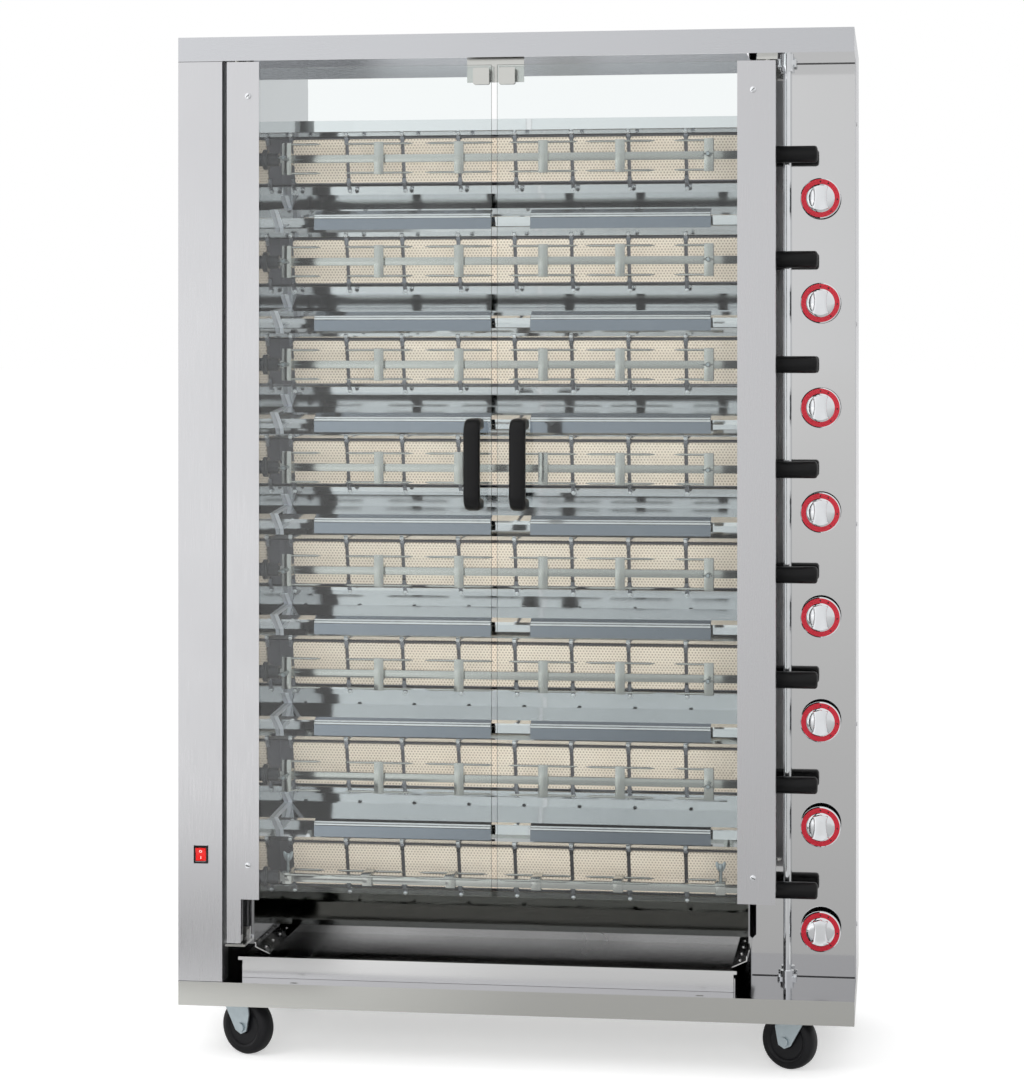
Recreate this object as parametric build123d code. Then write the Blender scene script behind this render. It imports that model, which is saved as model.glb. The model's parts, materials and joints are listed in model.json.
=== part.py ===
from build123d import *
import math
import os

os.makedirs("parts", exist_ok=True)

# Chicken rotisserie for forty birds, eight spits above each other.
# Millimetres, X to the right, Y away from the front, Z up, floor at Z = 0.
# The origin is under the middle of the whole machine, handles and gas inlet included.

# Sheet metal and general fits
sheet = 2.0
thin_sheet = 1.5
touch_gap = 0.3
shaft_gap = 0.05

# Body
body_depth = 500.0
fascia_height = 42.0
canopy_rear_lip = 25.0
low_spit_rise = 203.0
top_spit_drop = 205.5
base_slot_length = 14.0
base_slot_width = 7.0
base_slot_inset = 79.0
base_slot_setback = 12.0
screw_round_share = 0.45

# Left column, with the drive inside
column_face = 79.0
column_width = 126.0
column_return = 45.0
cover_screw_radius = 4.0
cover_screw_head = 2.0
cover_screw_count = 5
cover_screw_rise = 93.0
cover_screw_drop = 107.0
cover_screw_inset = 14.0
gland_radius = 11.0
gland_reach = 18.0
gland_rise = 120.0
gland_bore_radius = 5.5
gland_chamfer = 2.2

# Right column, set back behind the spit grips
control_width = 185.0
control_setback = 188.0
wall_nose_setback = 100.0
wall_low_rise = 60.0
wall_nose_chamfer = 14.0
panel_relief = 7.0
panel_relief_rise = 72.0

# Spits
spit_count = 8
spit_pitch = 184.5
spit_setback = 141.0
bar_side = 14.0
bar_entry = 32.0
journal_radius = 10.0
journal_length = 12.0
grip_radius = 15.0
grip_length = 111.0
grip_start = 8.0
grip_round = 3.0
fork_places = [40.0, 208.0, 353.0, 504.0, 641.0, 798.0]
low_fork_places = [40.0, 186.0, 337.0, 491.0, 637.0, 818.0]
fork_width = 17.5
fork_height = 58.0
fork_plate = 3.0
fork_sleeve = 21.0
prong_radius = 2.0
prong_length = 62.0
prong_tip = 10.0
prong_point = 0.4
prong_inset = 3.0
wing_radius = 3.0
wing_reach = 48.0
wing_span = 18.0
wing_height = 20.0
wing_thickness = 3.5
wing_round = 4.5
wing_gap = 0.1
low_spit_turn = -90.0

# Drive, one hub for each spit, neighbours joined by short chains
hub_radius = 12.0
hub_reach = 24.0
hub_length = 64.0
hub_collar_radius = 18.0
hub_collar = 4.0
sprocket_teeth = 14
sprocket_radius = 30.0
sprocket_root = 25.0
sprocket_width = 5.0
sprocket_end = 3.0
sprocket_spacing = 10.0
tooth_foot_share = 0.3
tooth_rise_share = 0.45
tooth_end_share = 0.85
chain_width = 7.0
chain_thickness = 8.0
bearing_radius = 20.0
bearing_length = 10.0
gearbox_half_width = 54.0
gearbox_half_height = 40.0
gearbox_thickness = 32.0
gearbox_round = 8.0
motor_radius = 30.0
motor_length = 95.0
post_radius = 4.0
post_spread = 46.0
post_height = 30.0

# Burners: tiles in a housing that leans forward at the top
tile_count = 8
tile_pitch = 103.75
tile_width = 97.0
tile_length = 81.0
tile_thickness = 13.0
tile_round = 5.0
tile_setback = 106.0
tile_rise = 43.0
tile_tilt = 16.4
burner_margin_left = 22.0
burner_margin_right = 17.0
housing_lip = 3.0
housing_wall = 3.0
housing_depth = 60.0
plenum_step = 4.0
injector_radius = 7.0
injector_length = 43.0

# Reflector sheets, each from one burner's foot to the next burner's head
head_edge_setback = 95.0
head_edge_rise = 57.0
head_seat_gap = 3.0
foot_seat_gap = 4.0
foot_edge_setback = 149.0
foot_edge_drop = 55.0
shelf_back_setback = 185.0
shelf_back_drop = 79.0
shelf_lip_setback = 64.0
shelf_lip_drop = 88.0
recess_setback = 109.0
recess_drop = 117.0
hood_rise = 80.0
last_lip_drop = 10.0
deflector_length = 326.0
deflector_spread = 398.0
deflector_height = 22.0
deflector_bead = 2.0
deflector_step = 20.0
clip_width = 7.0
clip_grip = 9.0
clip_thickness = 1.0
clip_screw_radius = 3.5
clip_screw_head = 3.0

# Rear panel
rear_slot_length = 130.0
rear_slot_height = 8.0
rear_slot_count = 4
rear_slot_pitch = 190.0
rear_flange = 16.0

# Gas train
knob_drop = 76.0
knob_inset = 62.0
valve_side = 28.0
valve_length = 48.0
valve_bore_depth = 22.0
manifold_radius = 11.0
manifold_setback = 55.0
feed_radius = 4.0
feed_bend = 12.0
feed_offset = 56.0
feed_setback = 16.0
inlet_radius = 10.48
inlet_reach = 30.0
inlet_drop = 46.0
inlet_neck = 2.0
pipe_radius = 9.0
pipe_bore_radius = 5.5
spindle_radius = 4.0
spindle_hole_gap = 1.0

# Knobs
knob_radius = 35.5
knob_face = 28.0
knob_rim = 8.0
knob_boss_radius = 22.0
knob_panel_gap = 2.0
knob_grip_top = 20.0
knob_grip_foot = 30.0
knob_grip_length = 47.0
knob_grip_reach = 15.0
knob_grip_shoulder = 13.0
knob_grip_flat = 10.0
knob_grip_sink = 1.0
knob_round = 2.0

# Guard rail
rail_radius = 7.0
rail_inset = 120.5
rail_setback = 168.0
rail_collar_radius = 12.0
rail_collar_height = 15.0
rail_ear_length = 34.0
rail_ear_width = 18.0
rail_ear_thickness = 4.0
rail_ear_round = 6.0
rail_screw_radius = 3.0
rail_screw_head = 4.0

# Glass doors
glass_setback = 4.0
glass_thickness = 6.0
glass_foot_rise = 162.0
glass_head_drop = 13.0
pane_gap = 10.0
stile_depth = 24.0
left_stile_width = 57.5
right_stile_width = 65.0
left_stile_gap = 8.0
right_stile_edge = 134.0
left_stile_rise = 146.0
left_tail_rise = 69.0
tail_width = 25.0
left_stile_drop = 2.0
right_stile_rise = 161.0
right_tail_rise = 181.0
right_stile_drop = 12.5
channel_width = 23.0
pivot_inset = 14.5
pivot_radius = 4.0
pivot_block = 12.0
pivot_plate = 4.0
pivot_clear = 2.0
pivot_plate_width = 35.0
pivot_leaf = 24.0
right_arm_lift = 3.7
right_arm_gap = 2.0
right_arm_width = 12.0
right_arm_end = 9.5
glass_screw_inset = 38.0
glass_screw_drop = 62.0
glass_screw_rise = 206.0
glass_screw_radius = 2.5
glass_screw_head_radius = 5.0
glass_screw_head = 3.0
handle_width = 28.0
handle_length = 159.0
handle_reach = 58.0
handle_bar = 20.0
handle_foot = 26.0
handle_rise = 832.0
handle_outer_round = 23.4
handle_inner_round = 11.7
handle_edge_round = 6.6
left_handle_inset = 27.0
right_handle_inset = 42.0
handle_bolt_radius = 3.0
handle_washer_radius = 8.0
handle_washer = 3.0
clip_plate_width = 28.0
clip_plate_height = 29.0
clip_plate = 3.0
clip_inset = 17.5
clip_drop = 5.0
clip_pin_radius = 3.5
catch_width = 100.0
catch_height = 38.0
catch_drop = 4.0
magnet_width = 14.0
magnet_height = 20.0
magnet_depth = 8.5

# Drip tray
tray_setback = 45.0
tray_depth = 390.0
tray_height = 38.0
tray_left = 105.0
tray_right_gap = 23.0
tray_lip = 8.0
tray_lip_fall = 6.0
runner_height = 22.0
guard_rise = 61.0
guard_leaf = 8.0
guard_reach = 26.0
guard_fall = 11.5
guard_screw_radius = 3.5
guard_screw_head = 2.0
guard_screw_count = 8

# Casters
caster_height = 135.0
wheel_radius = 50.0
wheel_width = 32.0
wheel_core_radius = 36.0
caster_inset = 88.0
caster_setback = 70.0
caster_trail = 27.0
caster_plate_length = 95.0
caster_plate_width = 75.0
caster_plate = 4.0
caster_bolt_radius = 5.0
caster_bolt_head = 4.0
caster_bolt_inset = 9.0
caster_plate_round = 4.0
kingpin_radius = 6.0
race_radius = 30.0
race_height = 13.0
fork_leg = 3.0
fork_crown = 4.0
fork_side_gap = 2.0
leg_head = 56.0
leg_foot = 24.0
leg_step = 6.0
tyre_round = 4.0
dish_rim = 4.0
dish_depth = 5.3
wheel_boss_radius = 12.0
axle_radius = 5.0
axle_head_radius = 8.0
axle_head = 4.0
front_caster_turn = 26.0
rear_caster_turn = -18.0

# Rocker switch
switch_inset = 41.0
switch_rise = 224.0
bezel_width = 25.0
bezel_height = 31.0
bezel_thickness = 2.0
rocker_width = 18.6
rocker_height = 23.0
rocker_front = 3.0
rocker_waist = 1.4
rocker_back = 6.0
rocker_step = 1.0
rocker_tilt = 8.0
rocker_gap = 0.6
switch_body_wall = 1.0
switch_body_depth = 26.0

# Places worked out from the sizes above
body_width = column_width + burner_margin_left + tile_count * tile_pitch + burner_margin_right + control_width
front_reach = handle_reach - glass_setback
front_y = (front_reach - inlet_reach - body_depth) / 2
rear_y = front_y + body_depth
left_x = -body_width / 2
right_x = body_width / 2
cavity_left_x = left_x + column_width
cavity_right_x = right_x - control_width
base_top_z = caster_height + sheet
base_low_z = base_top_z - fascia_height
low_spit_z = base_low_z + low_spit_rise
top_spit_z = low_spit_z + (spit_count - 1) * spit_pitch
canopy_top_z = top_spit_z + top_spit_drop
canopy_low_z = canopy_top_z - fascia_height
canopy_sheet_z = canopy_top_z - sheet
spit_y = front_y + spit_setback
panel_y = front_y + control_setback
wall_low_z = base_top_z + wall_low_rise
pane_middle_x = cavity_left_x + (cavity_right_x - cavity_left_x) / 2
spit_heights = [top_spit_z - row * spit_pitch for row in range(spit_count)]
burner_left_x = cavity_left_x + burner_margin_left
tilt = math.radians(tile_tilt)
down_face = (math.sin(tilt), -math.cos(tilt))
into_face = (math.cos(tilt), math.sin(tilt))


def block(x0, x1, y0, y1, z0, z1):
    centre = ((x0 + x1) / 2, (y0 + y1) / 2, (z0 + z1) / 2)
    return Pos(*centre) * Box(x1 - x0, y1 - y0, z1 - z0)


def rod_x(x0, x1, y, z, radius):
    return Pos((x0 + x1) / 2, y, z) * Rot(0, 90, 0) * Cylinder(radius, x1 - x0)


def rod_y(y0, y1, x, z, radius):
    return Pos(x, (y0 + y1) / 2, z) * Rot(90, 0, 0) * Cylinder(radius, y1 - y0)


def rod_z(z0, z1, x, y, radius):
    return Pos(x, y, (z0 + z1) / 2) * Cylinder(radius, z1 - z0)


def prism_x(points, x0, x1):
    # A flat outline of (y, z) points, drawn out along X
    face = Plane.YZ.offset(x0) * Polygon(*points, align=None)
    return extrude(face, x1 - x0, dir=(1, 0, 0))


def prism_y(points, y0, y1):
    # A flat outline of (x, z) points, drawn out along Y
    face = Plane.XZ.offset(-y0) * Polygon(*points, align=None)
    return extrude(face, y1 - y0, dir=(0, 1, 0))


def folded(line, thickness):
    # The outline of a bent strip whose middle runs along the line, corners mitred
    sides = ([], [])
    for i, (a, b) in enumerate(line):
        normals = []
        for p, q in ((i - 1, i), (i, i + 1)):
            if p >= 0 and q < len(line):
                run = (line[q][0] - line[p][0], line[q][1] - line[p][1])
                size = math.hypot(*run)
                normals.append((-run[1] / size, run[0] / size))
        total = (sum(n[0] for n in normals), sum(n[1] for n in normals))
        scale = thickness / 2 / (total[0] * normals[0][0] + total[1] * normals[0][1])
        sides[0].append((a + total[0] * scale, b + total[1] * scale))
        sides[1].append((a - total[0] * scale, b - total[1] * scale))
    return sides[0] + sides[1][::-1]


def pan_head(place, direction, radius, height):
    # A screw head that stands on a surface at the place, along the direction
    head = Cylinder(radius, height)
    head = fillet(head.edges().group_by(Axis.Z)[-1], height * screw_round_share)
    seat = Plane(origin=place, z_dir=direction)
    return seat * Pos(0, 0, height / 2) * head


def write(name, *shapes):
    solids = []
    for shape in shapes:
        solids.extend(shape.solids())
    export_step(Compound(children=solids), "parts/" + name + ".step")


# Chassis and covers


def base_chassis():
    top = block(left_x, right_x, front_y, rear_y, base_top_z - sheet, base_top_z)
    front = block(left_x, right_x, front_y, front_y + sheet, base_low_z, base_top_z)
    rear = block(left_x, right_x, rear_y - sheet, rear_y, base_low_z, base_top_z)
    left = block(left_x, left_x + sheet, front_y, rear_y, base_low_z, base_top_z)
    right = block(right_x - sheet, right_x, front_y, rear_y, base_low_z, base_top_z)
    tray = top + front + rear + left + right
    for x in (cavity_left_x + base_slot_inset, cavity_right_x - base_slot_inset):
        slot = SlotOverall(base_slot_length, base_slot_width)
        place = Pos(x, front_y + base_slot_setback, caster_height)
        tray -= place * extrude(slot, sheet)
    return tray


def canopy():
    top = block(left_x, right_x, front_y, rear_y, canopy_sheet_z, canopy_top_z)
    front = block(left_x, right_x, front_y, front_y + sheet, canopy_low_z, canopy_top_z)
    left = block(left_x, left_x + sheet, front_y, rear_y, canopy_low_z, canopy_top_z)
    right = block(right_x - sheet, right_x, front_y, rear_y, canopy_low_z, canopy_top_z)
    rear = block(left_x, right_x, rear_y - sheet, rear_y, canopy_top_z - canopy_rear_lip, canopy_top_z)
    floor_left = cavity_right_x + sheet
    floor = block(floor_left, right_x, front_y, rear_y - sheet, canopy_low_z, canopy_low_z + sheet)
    return top + front + left + right + rear + floor


def cover_screws(x, direction, y):
    screws = []
    low = base_top_z + cover_screw_rise
    pitch = (canopy_low_z - cover_screw_drop - low) / (cover_screw_count - 1)
    for n in range(cover_screw_count):
        z = low + n * pitch
        screws.append(pan_head((x, y, z), direction, cover_screw_radius, cover_screw_head))
    return screws


def left_column():
    front = block(left_x, left_x + column_face, front_y, front_y + sheet, base_top_z, canopy_low_z)
    side = block(left_x, left_x + sheet, front_y, rear_y, base_top_z, canopy_low_z)
    back = block(left_x, cavity_left_x, rear_y - sheet, rear_y, base_top_z, canopy_low_z)
    fold_x = left_x + column_face
    fold = block(fold_x - sheet, fold_x, front_y, front_y + column_return, base_top_z, canopy_low_z)
    cover = front + side + back + fold
    x = left_x + switch_inset
    z = base_top_z + switch_rise
    half_width = rocker_width / 2 + rocker_gap + switch_body_wall + touch_gap
    half_height = rocker_height / 2 + rocker_gap * 2 + switch_body_wall + touch_gap
    cover -= block(x - half_width, x + half_width, front_y, front_y + sheet, z - half_height, z + half_height)
    gland_x = left_x + column_width / 2
    gland_z = base_top_z + gland_rise
    gland = rod_y(rear_y, rear_y + gland_reach, gland_x, gland_z, gland_radius)
    gland -= rod_y(rear_y, rear_y + gland_reach, gland_x, gland_z, gland_bore_radius)
    cover -= rod_y(rear_y - sheet, rear_y, gland_x, gland_z, gland_bore_radius)
    gland = chamfer(gland.faces().sort_by(Axis.Y)[-1].outer_wire().edges(), gland_chamfer)
    screws = cover_screws(left_x, (-1, 0, 0), rear_y - cover_screw_inset)
    return [cover, gland] + screws


def switch_bezel():
    x = left_x + switch_inset
    z = base_top_z + switch_rise
    half_width = rocker_width / 2 + rocker_gap
    half_height = rocker_height / 2 + rocker_gap * 2
    rim = Box(bezel_width, bezel_thickness, bezel_height)
    rim = fillet(rim.edges().filter_by(Axis.Y), bezel_thickness)
    rim = Pos(x, front_y - bezel_thickness / 2, z) * rim
    wall = switch_body_wall
    body = block(
        x - half_width - wall,
        x + half_width + wall,
        front_y,
        front_y + switch_body_depth,
        z - half_height - wall,
        z + half_height + wall,
    )
    well_end = front_y + switch_body_depth / 2
    well = block(
        x - half_width, x + half_width, front_y - bezel_thickness, well_end, z - half_height, z + half_height
    )
    return rim + body - well


def rocker_switch():
    x = left_x + switch_inset
    z = base_top_z + switch_rise
    half = rocker_height / 2
    profile = [
        (rocker_back, -half + rocker_step),
        (-rocker_front, -half),
        (-rocker_waist, 0),
        (-rocker_front, half),
        (rocker_back, half - rocker_step),
    ]
    rocker = prism_x(profile, -rocker_width / 2, rocker_width / 2)
    return Pos(x, front_y, z) * Rot(rocker_tilt, 0, 0) * rocker


def inner_walls():
    low = wall_low_z
    high = canopy_sheet_z
    face_x = cavity_left_x
    left = block(face_x - sheet, face_x, front_y + column_return, rear_y - sheet, low, high)
    flange_left = left_x + column_face - sheet
    flange_y = front_y + column_return
    left += block(flange_left, face_x, flange_y, flange_y + sheet, low, canopy_low_z)
    for z in spit_heights:
        left -= rod_x(face_x - sheet, face_x, spit_y, z, hub_radius + shaft_gap)
    face_x = cavity_right_x
    right = block(face_x, face_x + sheet, panel_y, rear_y - sheet, base_top_z, high)
    nose_y = front_y + wall_nose_setback
    nose_top = canopy_low_z - sheet
    cut = wall_nose_chamfer
    nose = [
        (nose_y, low + cut),
        (nose_y + cut, low),
        (panel_y, low),
        (panel_y, nose_top),
        (nose_y + cut, nose_top),
        (nose_y, nose_top - cut),
    ]
    right += prism_x(nose, face_x, face_x + sheet)
    notch = journal_radius + touch_gap
    drop = injector_drop()
    for z in spit_heights:
        right -= rod_x(face_x, face_x + sheet, spit_y, z, notch)
        right -= block(face_x, face_x + sheet, nose_y, spit_y, z - notch, z + notch)
        right -= rod_x(face_x, face_x + sheet, drop[0], z + drop[1], injector_radius + touch_gap)
    return [left, right]


def right_column():
    side = block(right_x - sheet, right_x, panel_y, rear_y, base_top_z, canopy_low_z)
    back = block(cavity_right_x, right_x, rear_y - sheet, rear_y, base_top_z, canopy_low_z)
    inlet_z = knob_height(spit_heights[-1]) - inlet_drop
    inlet_x = right_x - knob_inset
    back -= rod_y(rear_y - sheet, rear_y, inlet_x, inlet_z, inlet_radius + touch_gap)
    return [side + back] + cover_screws(right_x, (1, 0, 0), panel_y + cover_screw_inset)


def knob_height(spit_z):
    return spit_z - knob_drop


def control_panel():
    left = cavity_right_x + sheet
    panel = block(left, right_x - sheet, panel_y, panel_y + sheet, base_top_z, canopy_low_z)
    relief_z = base_top_z + panel_relief_rise
    outline = [
        (left, relief_z - panel_relief),
        (left + panel_relief, relief_z),
        (left + panel_relief, canopy_low_z),
        (left, canopy_low_z),
    ]
    panel -= prism_y(outline, panel_y, panel_y + sheet)
    for z in spit_heights:
        x = right_x - knob_inset
        panel -= rod_y(panel_y, panel_y + sheet, x, knob_height(z), spindle_radius + spindle_hole_gap)
    return panel


def rear_panel():
    top_z = spit_heights[0] + hood_rise
    panel = block(cavity_left_x, cavity_right_x, rear_y - sheet, rear_y, base_top_z, top_z)
    panel += block(cavity_left_x, cavity_right_x, rear_y - rear_flange, rear_y, top_z - sheet, top_z)
    start = pane_middle_x - (rear_slot_count - 1) * rear_slot_pitch / 2
    for z in spit_heights:
        for n in range(rear_slot_count):
            slot = SlotOverall(rear_slot_length, rear_slot_height)
            place = Plane.XZ.offset(-rear_y)
            hole = extrude(place * Pos(start + n * rear_slot_pitch, z) * slot, sheet)
            panel -= hole
    return panel


# Burners and reflectors


def on_face(along, depth):
    # A point on a burner, from the spit axis: along the tile face, and back into it
    y = tile_setback + along * down_face[0] + depth * into_face[0]
    z = tile_rise + along * down_face[1] + depth * into_face[1]
    return (y, z)


def injector_drop():
    y, z = on_face(tile_length / 2, housing_depth / 2 + housing_lip)
    return (spit_y + y, z)


def burner_housing():
    wall = housing_wall
    outline = [
        on_face(-wall, housing_lip),
        on_face(tile_length + wall, housing_lip),
        on_face(tile_length + wall, housing_depth),
        on_face(-wall, housing_depth),
    ]
    body = prism_x(outline, cavity_left_x, cavity_right_x)
    plenum = [
        on_face(plenum_step, tile_thickness),
        on_face(tile_length - plenum_step, tile_thickness),
        on_face(tile_length - plenum_step, housing_depth - wall),
        on_face(plenum_step, housing_depth - wall),
    ]
    length = tile_count * tile_pitch
    body -= prism_x(plenum, burner_left_x + plenum_step, burner_left_x + length - plenum_step)
    pocket = [
        on_face(-touch_gap, housing_lip),
        on_face(tile_length + touch_gap, housing_lip),
        on_face(tile_length + touch_gap, tile_thickness),
        on_face(-touch_gap, tile_thickness),
    ]
    for n in range(tile_count):
        middle = burner_left_x + (n + 0.5) * tile_pitch
        half = tile_width / 2 + touch_gap
        body -= prism_x(pocket, middle - half, middle + half)
    return Pos(0, spit_y, 0) * body


def burner_tiles():
    outline = RectangleRounded(tile_width, tile_length, tile_round)
    tile = extrude(outline, tile_thickness)
    y, z = on_face(tile_length / 2, 0)
    tiles = []
    for n in range(tile_count):
        x = burner_left_x + (n + 0.5) * tile_pitch
        seat = Plane(origin=(x, spit_y + y, z), x_dir=(1, 0, 0), z_dir=(0, into_face[0], into_face[1]))
        tiles.append(seat * tile)
    return tiles


def head_seat():
    y, z = on_face(-housing_wall, housing_lip)
    return (y - head_seat_gap, z + head_seat_gap)


def foot_seat():
    y, z = on_face(tile_length + housing_wall, housing_lip)
    return (y, z - foot_seat_gap)


def head_line(rise):
    return [(head_edge_setback, head_edge_rise + rise), (head_seat()[0], head_seat()[1] + rise)]


def reflector_line(last):
    foot = foot_seat()
    line = [foot, (foot_edge_setback, -foot_edge_drop), (shelf_back_setback, -shelf_back_drop)]
    line.append((shelf_lip_setback, -shelf_lip_drop))
    if last:
        line.append((shelf_lip_setback + last_lip_drop / 2, -shelf_lip_drop - last_lip_drop))
    else:
        line.append((recess_setback, -recess_drop))
        line.extend(head_line(-spit_pitch))
    return line


def hood_line():
    rear = body_depth - spit_setback - sheet
    return [(rear, hood_rise - thin_sheet / 2), (head_edge_setback, hood_rise - thin_sheet / 2)] + head_line(0)


def reflector_panels():
    sheets = []
    for row, z in enumerate(spit_heights):
        line = reflector_line(row == spit_count - 1)
        outline = folded(line, thin_sheet)
        sheets.append(Pos(0, spit_y, z) * prism_x(outline, cavity_left_x, cavity_right_x))
    hood_low = hood_rise - thin_sheet - sheet - touch_gap
    line = hood_line()
    line[0] = (line[0][0], hood_low)
    line[1] = (line[1][0], hood_low)
    outline = folded(line, thin_sheet)
    sheets.append(Pos(0, spit_y, spit_heights[0]) * prism_x(outline, cavity_left_x, cavity_right_x))
    return sheets


def drip_deflectors():
    run = (recess_setback - shelf_lip_setback, shelf_lip_drop - recess_drop)
    size = math.hypot(*run)
    along = (run[0] / size, run[1] / size)
    under = (along[1], -along[0])
    lift = thin_sheet / 2 + deflector_bead + touch_gap
    y = spit_y + shelf_lip_setback + along[0] * deflector_step + under[0] * lift
    drop = -shelf_lip_drop + along[1] * deflector_step + under[1] * lift
    plates = []
    for z in spit_heights[:-1]:
        for side in (-1, 1):
            middle = pane_middle_x + side * deflector_spread / 2 - thin_sheet
            x0 = middle - deflector_length / 2
            x1 = middle + deflector_length / 2
            top = z + drop
            bead = rod_x(x0, x1, y, top, deflector_bead)
            half = thin_sheet / 2
            plate = block(x0, x1, y - half, y + half, top - deflector_height, top)
            plates.append(bead + plate)
    return plates


def tile_clips():
    # Bent straps with their screws, one at the head and one at the foot of each tile joint
    head = head_line(0)
    head_run = (head[1][0] - head[0][0], head[1][1] - head[0][1])
    size = math.hypot(*head_run)
    head_out = (head_run[1] / size, -head_run[0] / size)
    head_middle = ((head[0][0] + head[1][0]) / 2, (head[0][1] + head[1][1]) / 2)
    foot = reflector_line(True)
    foot_run = (foot[1][0] - foot[0][0], foot[1][1] - foot[0][1])
    size = math.hypot(*foot_run)
    foot_out = (foot_run[1] / size, -foot_run[0] / size)
    foot_middle = ((foot[0][0] + foot[1][0]) / 2, (foot[0][1] + foot[1][1]) / 2)
    lift = thin_sheet / 2 + clip_thickness / 2
    face = -clip_thickness / 2 - touch_gap
    shapes = []
    for middle, corner, out, reach, tip in (
        (head_middle, head[1], head_out, on_face(0, face - touch_gap), on_face(clip_grip, face)),
        (foot_middle, foot[0], foot_out, on_face(tile_length, face), on_face(tile_length - clip_grip, face)),
    ):
        start = (middle[0] + out[0] * lift, middle[1] + out[1] * lift)
        run = (corner[0] - middle[0], corner[1] - middle[1])
        share = 1 + clip_thickness / math.hypot(*run)
        corner = (middle[0] + run[0] * share + out[0] * lift, middle[1] + run[1] * share + out[1] * lift)
        strap = prism_x(folded([start, corner, reach, tip], clip_thickness), -clip_width / 2, clip_width / 2)
        seat = (0, start[0] + out[0] * clip_thickness / 2, start[1] + out[1] * clip_thickness / 2)
        screw = pan_head(seat, (0, out[0], out[1]), clip_screw_radius, clip_screw_head)
        shapes.append(strap + screw)
    clips = []
    for z in spit_heights:
        for n in range(tile_count + 1):
            x = burner_left_x + n * tile_pitch
            for shape in shapes:
                clips.append(Pos(x, spit_y, z) * shape)
    return clips


# Gas train


def gas_train():
    x = right_x - knob_inset
    pipe_y = panel_y + manifold_setback
    heights = [knob_height(z) for z in spit_heights]
    inlet_z = heights[-1] - inlet_drop
    top = heights[0] + valve_side
    manifold = rod_z(inlet_z - manifold_radius, top, x, pipe_y, manifold_radius)
    manifold += rod_y(pipe_y, rear_y + inlet_neck, x, inlet_z, pipe_radius)
    manifold += rod_y(rear_y + inlet_neck, rear_y + inlet_reach, x, inlet_z, inlet_radius)
    manifold -= rod_y(pipe_y + manifold_radius, rear_y + inlet_reach, x, inlet_z, pipe_bore_radius)
    half = valve_side / 2
    back_y = panel_y + sheet
    valve = block(x - half, x + half, back_y, back_y + valve_length, -half, half)
    valve -= rod_z(-half, half, x, pipe_y, manifold_radius)
    valve -= rod_y(back_y, back_y + valve_bore_depth, x, 0, spindle_radius + shaft_gap)
    keep = block(x - half, x + half, back_y, pipe_y, -half, half)
    valve = valve & keep
    turn_x = x - feed_offset
    injector_y, injector_z = injector_drop()
    rise = injector_z + knob_drop
    feed_y = back_y + feed_setback
    stop_x = cavity_right_x + injector_length
    route = [(x - half, feed_y, 0), (turn_x, feed_y, 0), (turn_x, injector_y, rise), (stop_x, injector_y, rise)]
    path = FilletPolyline(*route, radius=feed_bend)
    section = Plane(origin=route[0], z_dir=(-1, 0, 0)) * Circle(feed_radius)
    feed = sweep(section, path)
    injector = rod_x(cavity_right_x, stop_x, injector_y, rise, injector_radius)
    shapes = [manifold]
    for z in heights:
        for shape in (valve, feed, injector):
            shapes.append(Pos(0, 0, z) * shape)
    return shapes


def knob(spit_z):
    # The dial's face is flat, and its grip bar is narrow at the top and wider at the foot
    x = right_x - knob_inset
    z = knob_height(spit_z)
    face_y = panel_y - knob_face
    dial = Cylinder(knob_radius, knob_rim)
    dial = fillet(dial.edges(), knob_round)
    dial = Pos(0, face_y + knob_rim / 2, 0) * Rot(90, 0, 0) * dial
    dial += rod_y(face_y + knob_rim / 2, panel_y - knob_panel_gap, 0, 0, knob_boss_radius)
    half = knob_grip_length / 2
    outline = [
        (-knob_grip_top / 2, half),
        (-knob_grip_foot / 2, -knob_grip_shoulder),
        (-knob_grip_flat, -half),
        (knob_grip_flat, -half),
        (knob_grip_foot / 2, -knob_grip_shoulder),
        (knob_grip_top / 2, half),
    ]
    bar = prism_y(outline, face_y - knob_grip_reach, face_y + knob_grip_sink)
    bar = fillet(bar.faces().sort_by(Axis.Y)[0].edges(), knob_round)
    dial += bar
    bore_end = face_y + knob_rim
    dial -= rod_y(bore_end, panel_y, 0, 0, spindle_radius)
    spindle_end = panel_y + sheet + valve_bore_depth - touch_gap
    spindle = rod_y(bore_end, spindle_end, 0, 0, spindle_radius)
    return [Pos(x, 0, z) * dial, Pos(x, 0, z) * spindle]


def guard_rail():
    x = right_x - rail_inset
    y = front_y + rail_setback
    rail = rod_z(base_top_z, canopy_low_z, x, y, rail_radius)
    shapes = []
    for z, way in ((base_top_z, 1), (canopy_low_z, -1)):
        foot = Box(rail_ear_length, rail_ear_width, rail_ear_thickness)
        foot = fillet(foot.edges().filter_by(Axis.Z), rail_ear_round)
        foot = Pos(x, y, z + way * rail_ear_thickness / 2) * foot
        ends = sorted((z, z + way * rail_collar_height))
        foot += rod_z(ends[0], ends[1], x, y, rail_collar_radius)
        foot -= rod_z(ends[0], ends[1], x, y, rail_radius)
        shapes.append(foot)
        for side in (-1, 1):
            place = (
                x + side * (rail_ear_length / 2 - rail_screw_radius),
                y,
                z + way * rail_ear_thickness,
            )
            shapes.append(pan_head(place, (0, 0, way), rail_screw_radius, rail_screw_head))
    return [rail] + shapes


# Spits and drive


def spit_turn(row):
    # The lowest spit stands a quarter turn on from the others, its wing screws up
    return low_spit_turn if row == spit_count - 1 else 0


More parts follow.
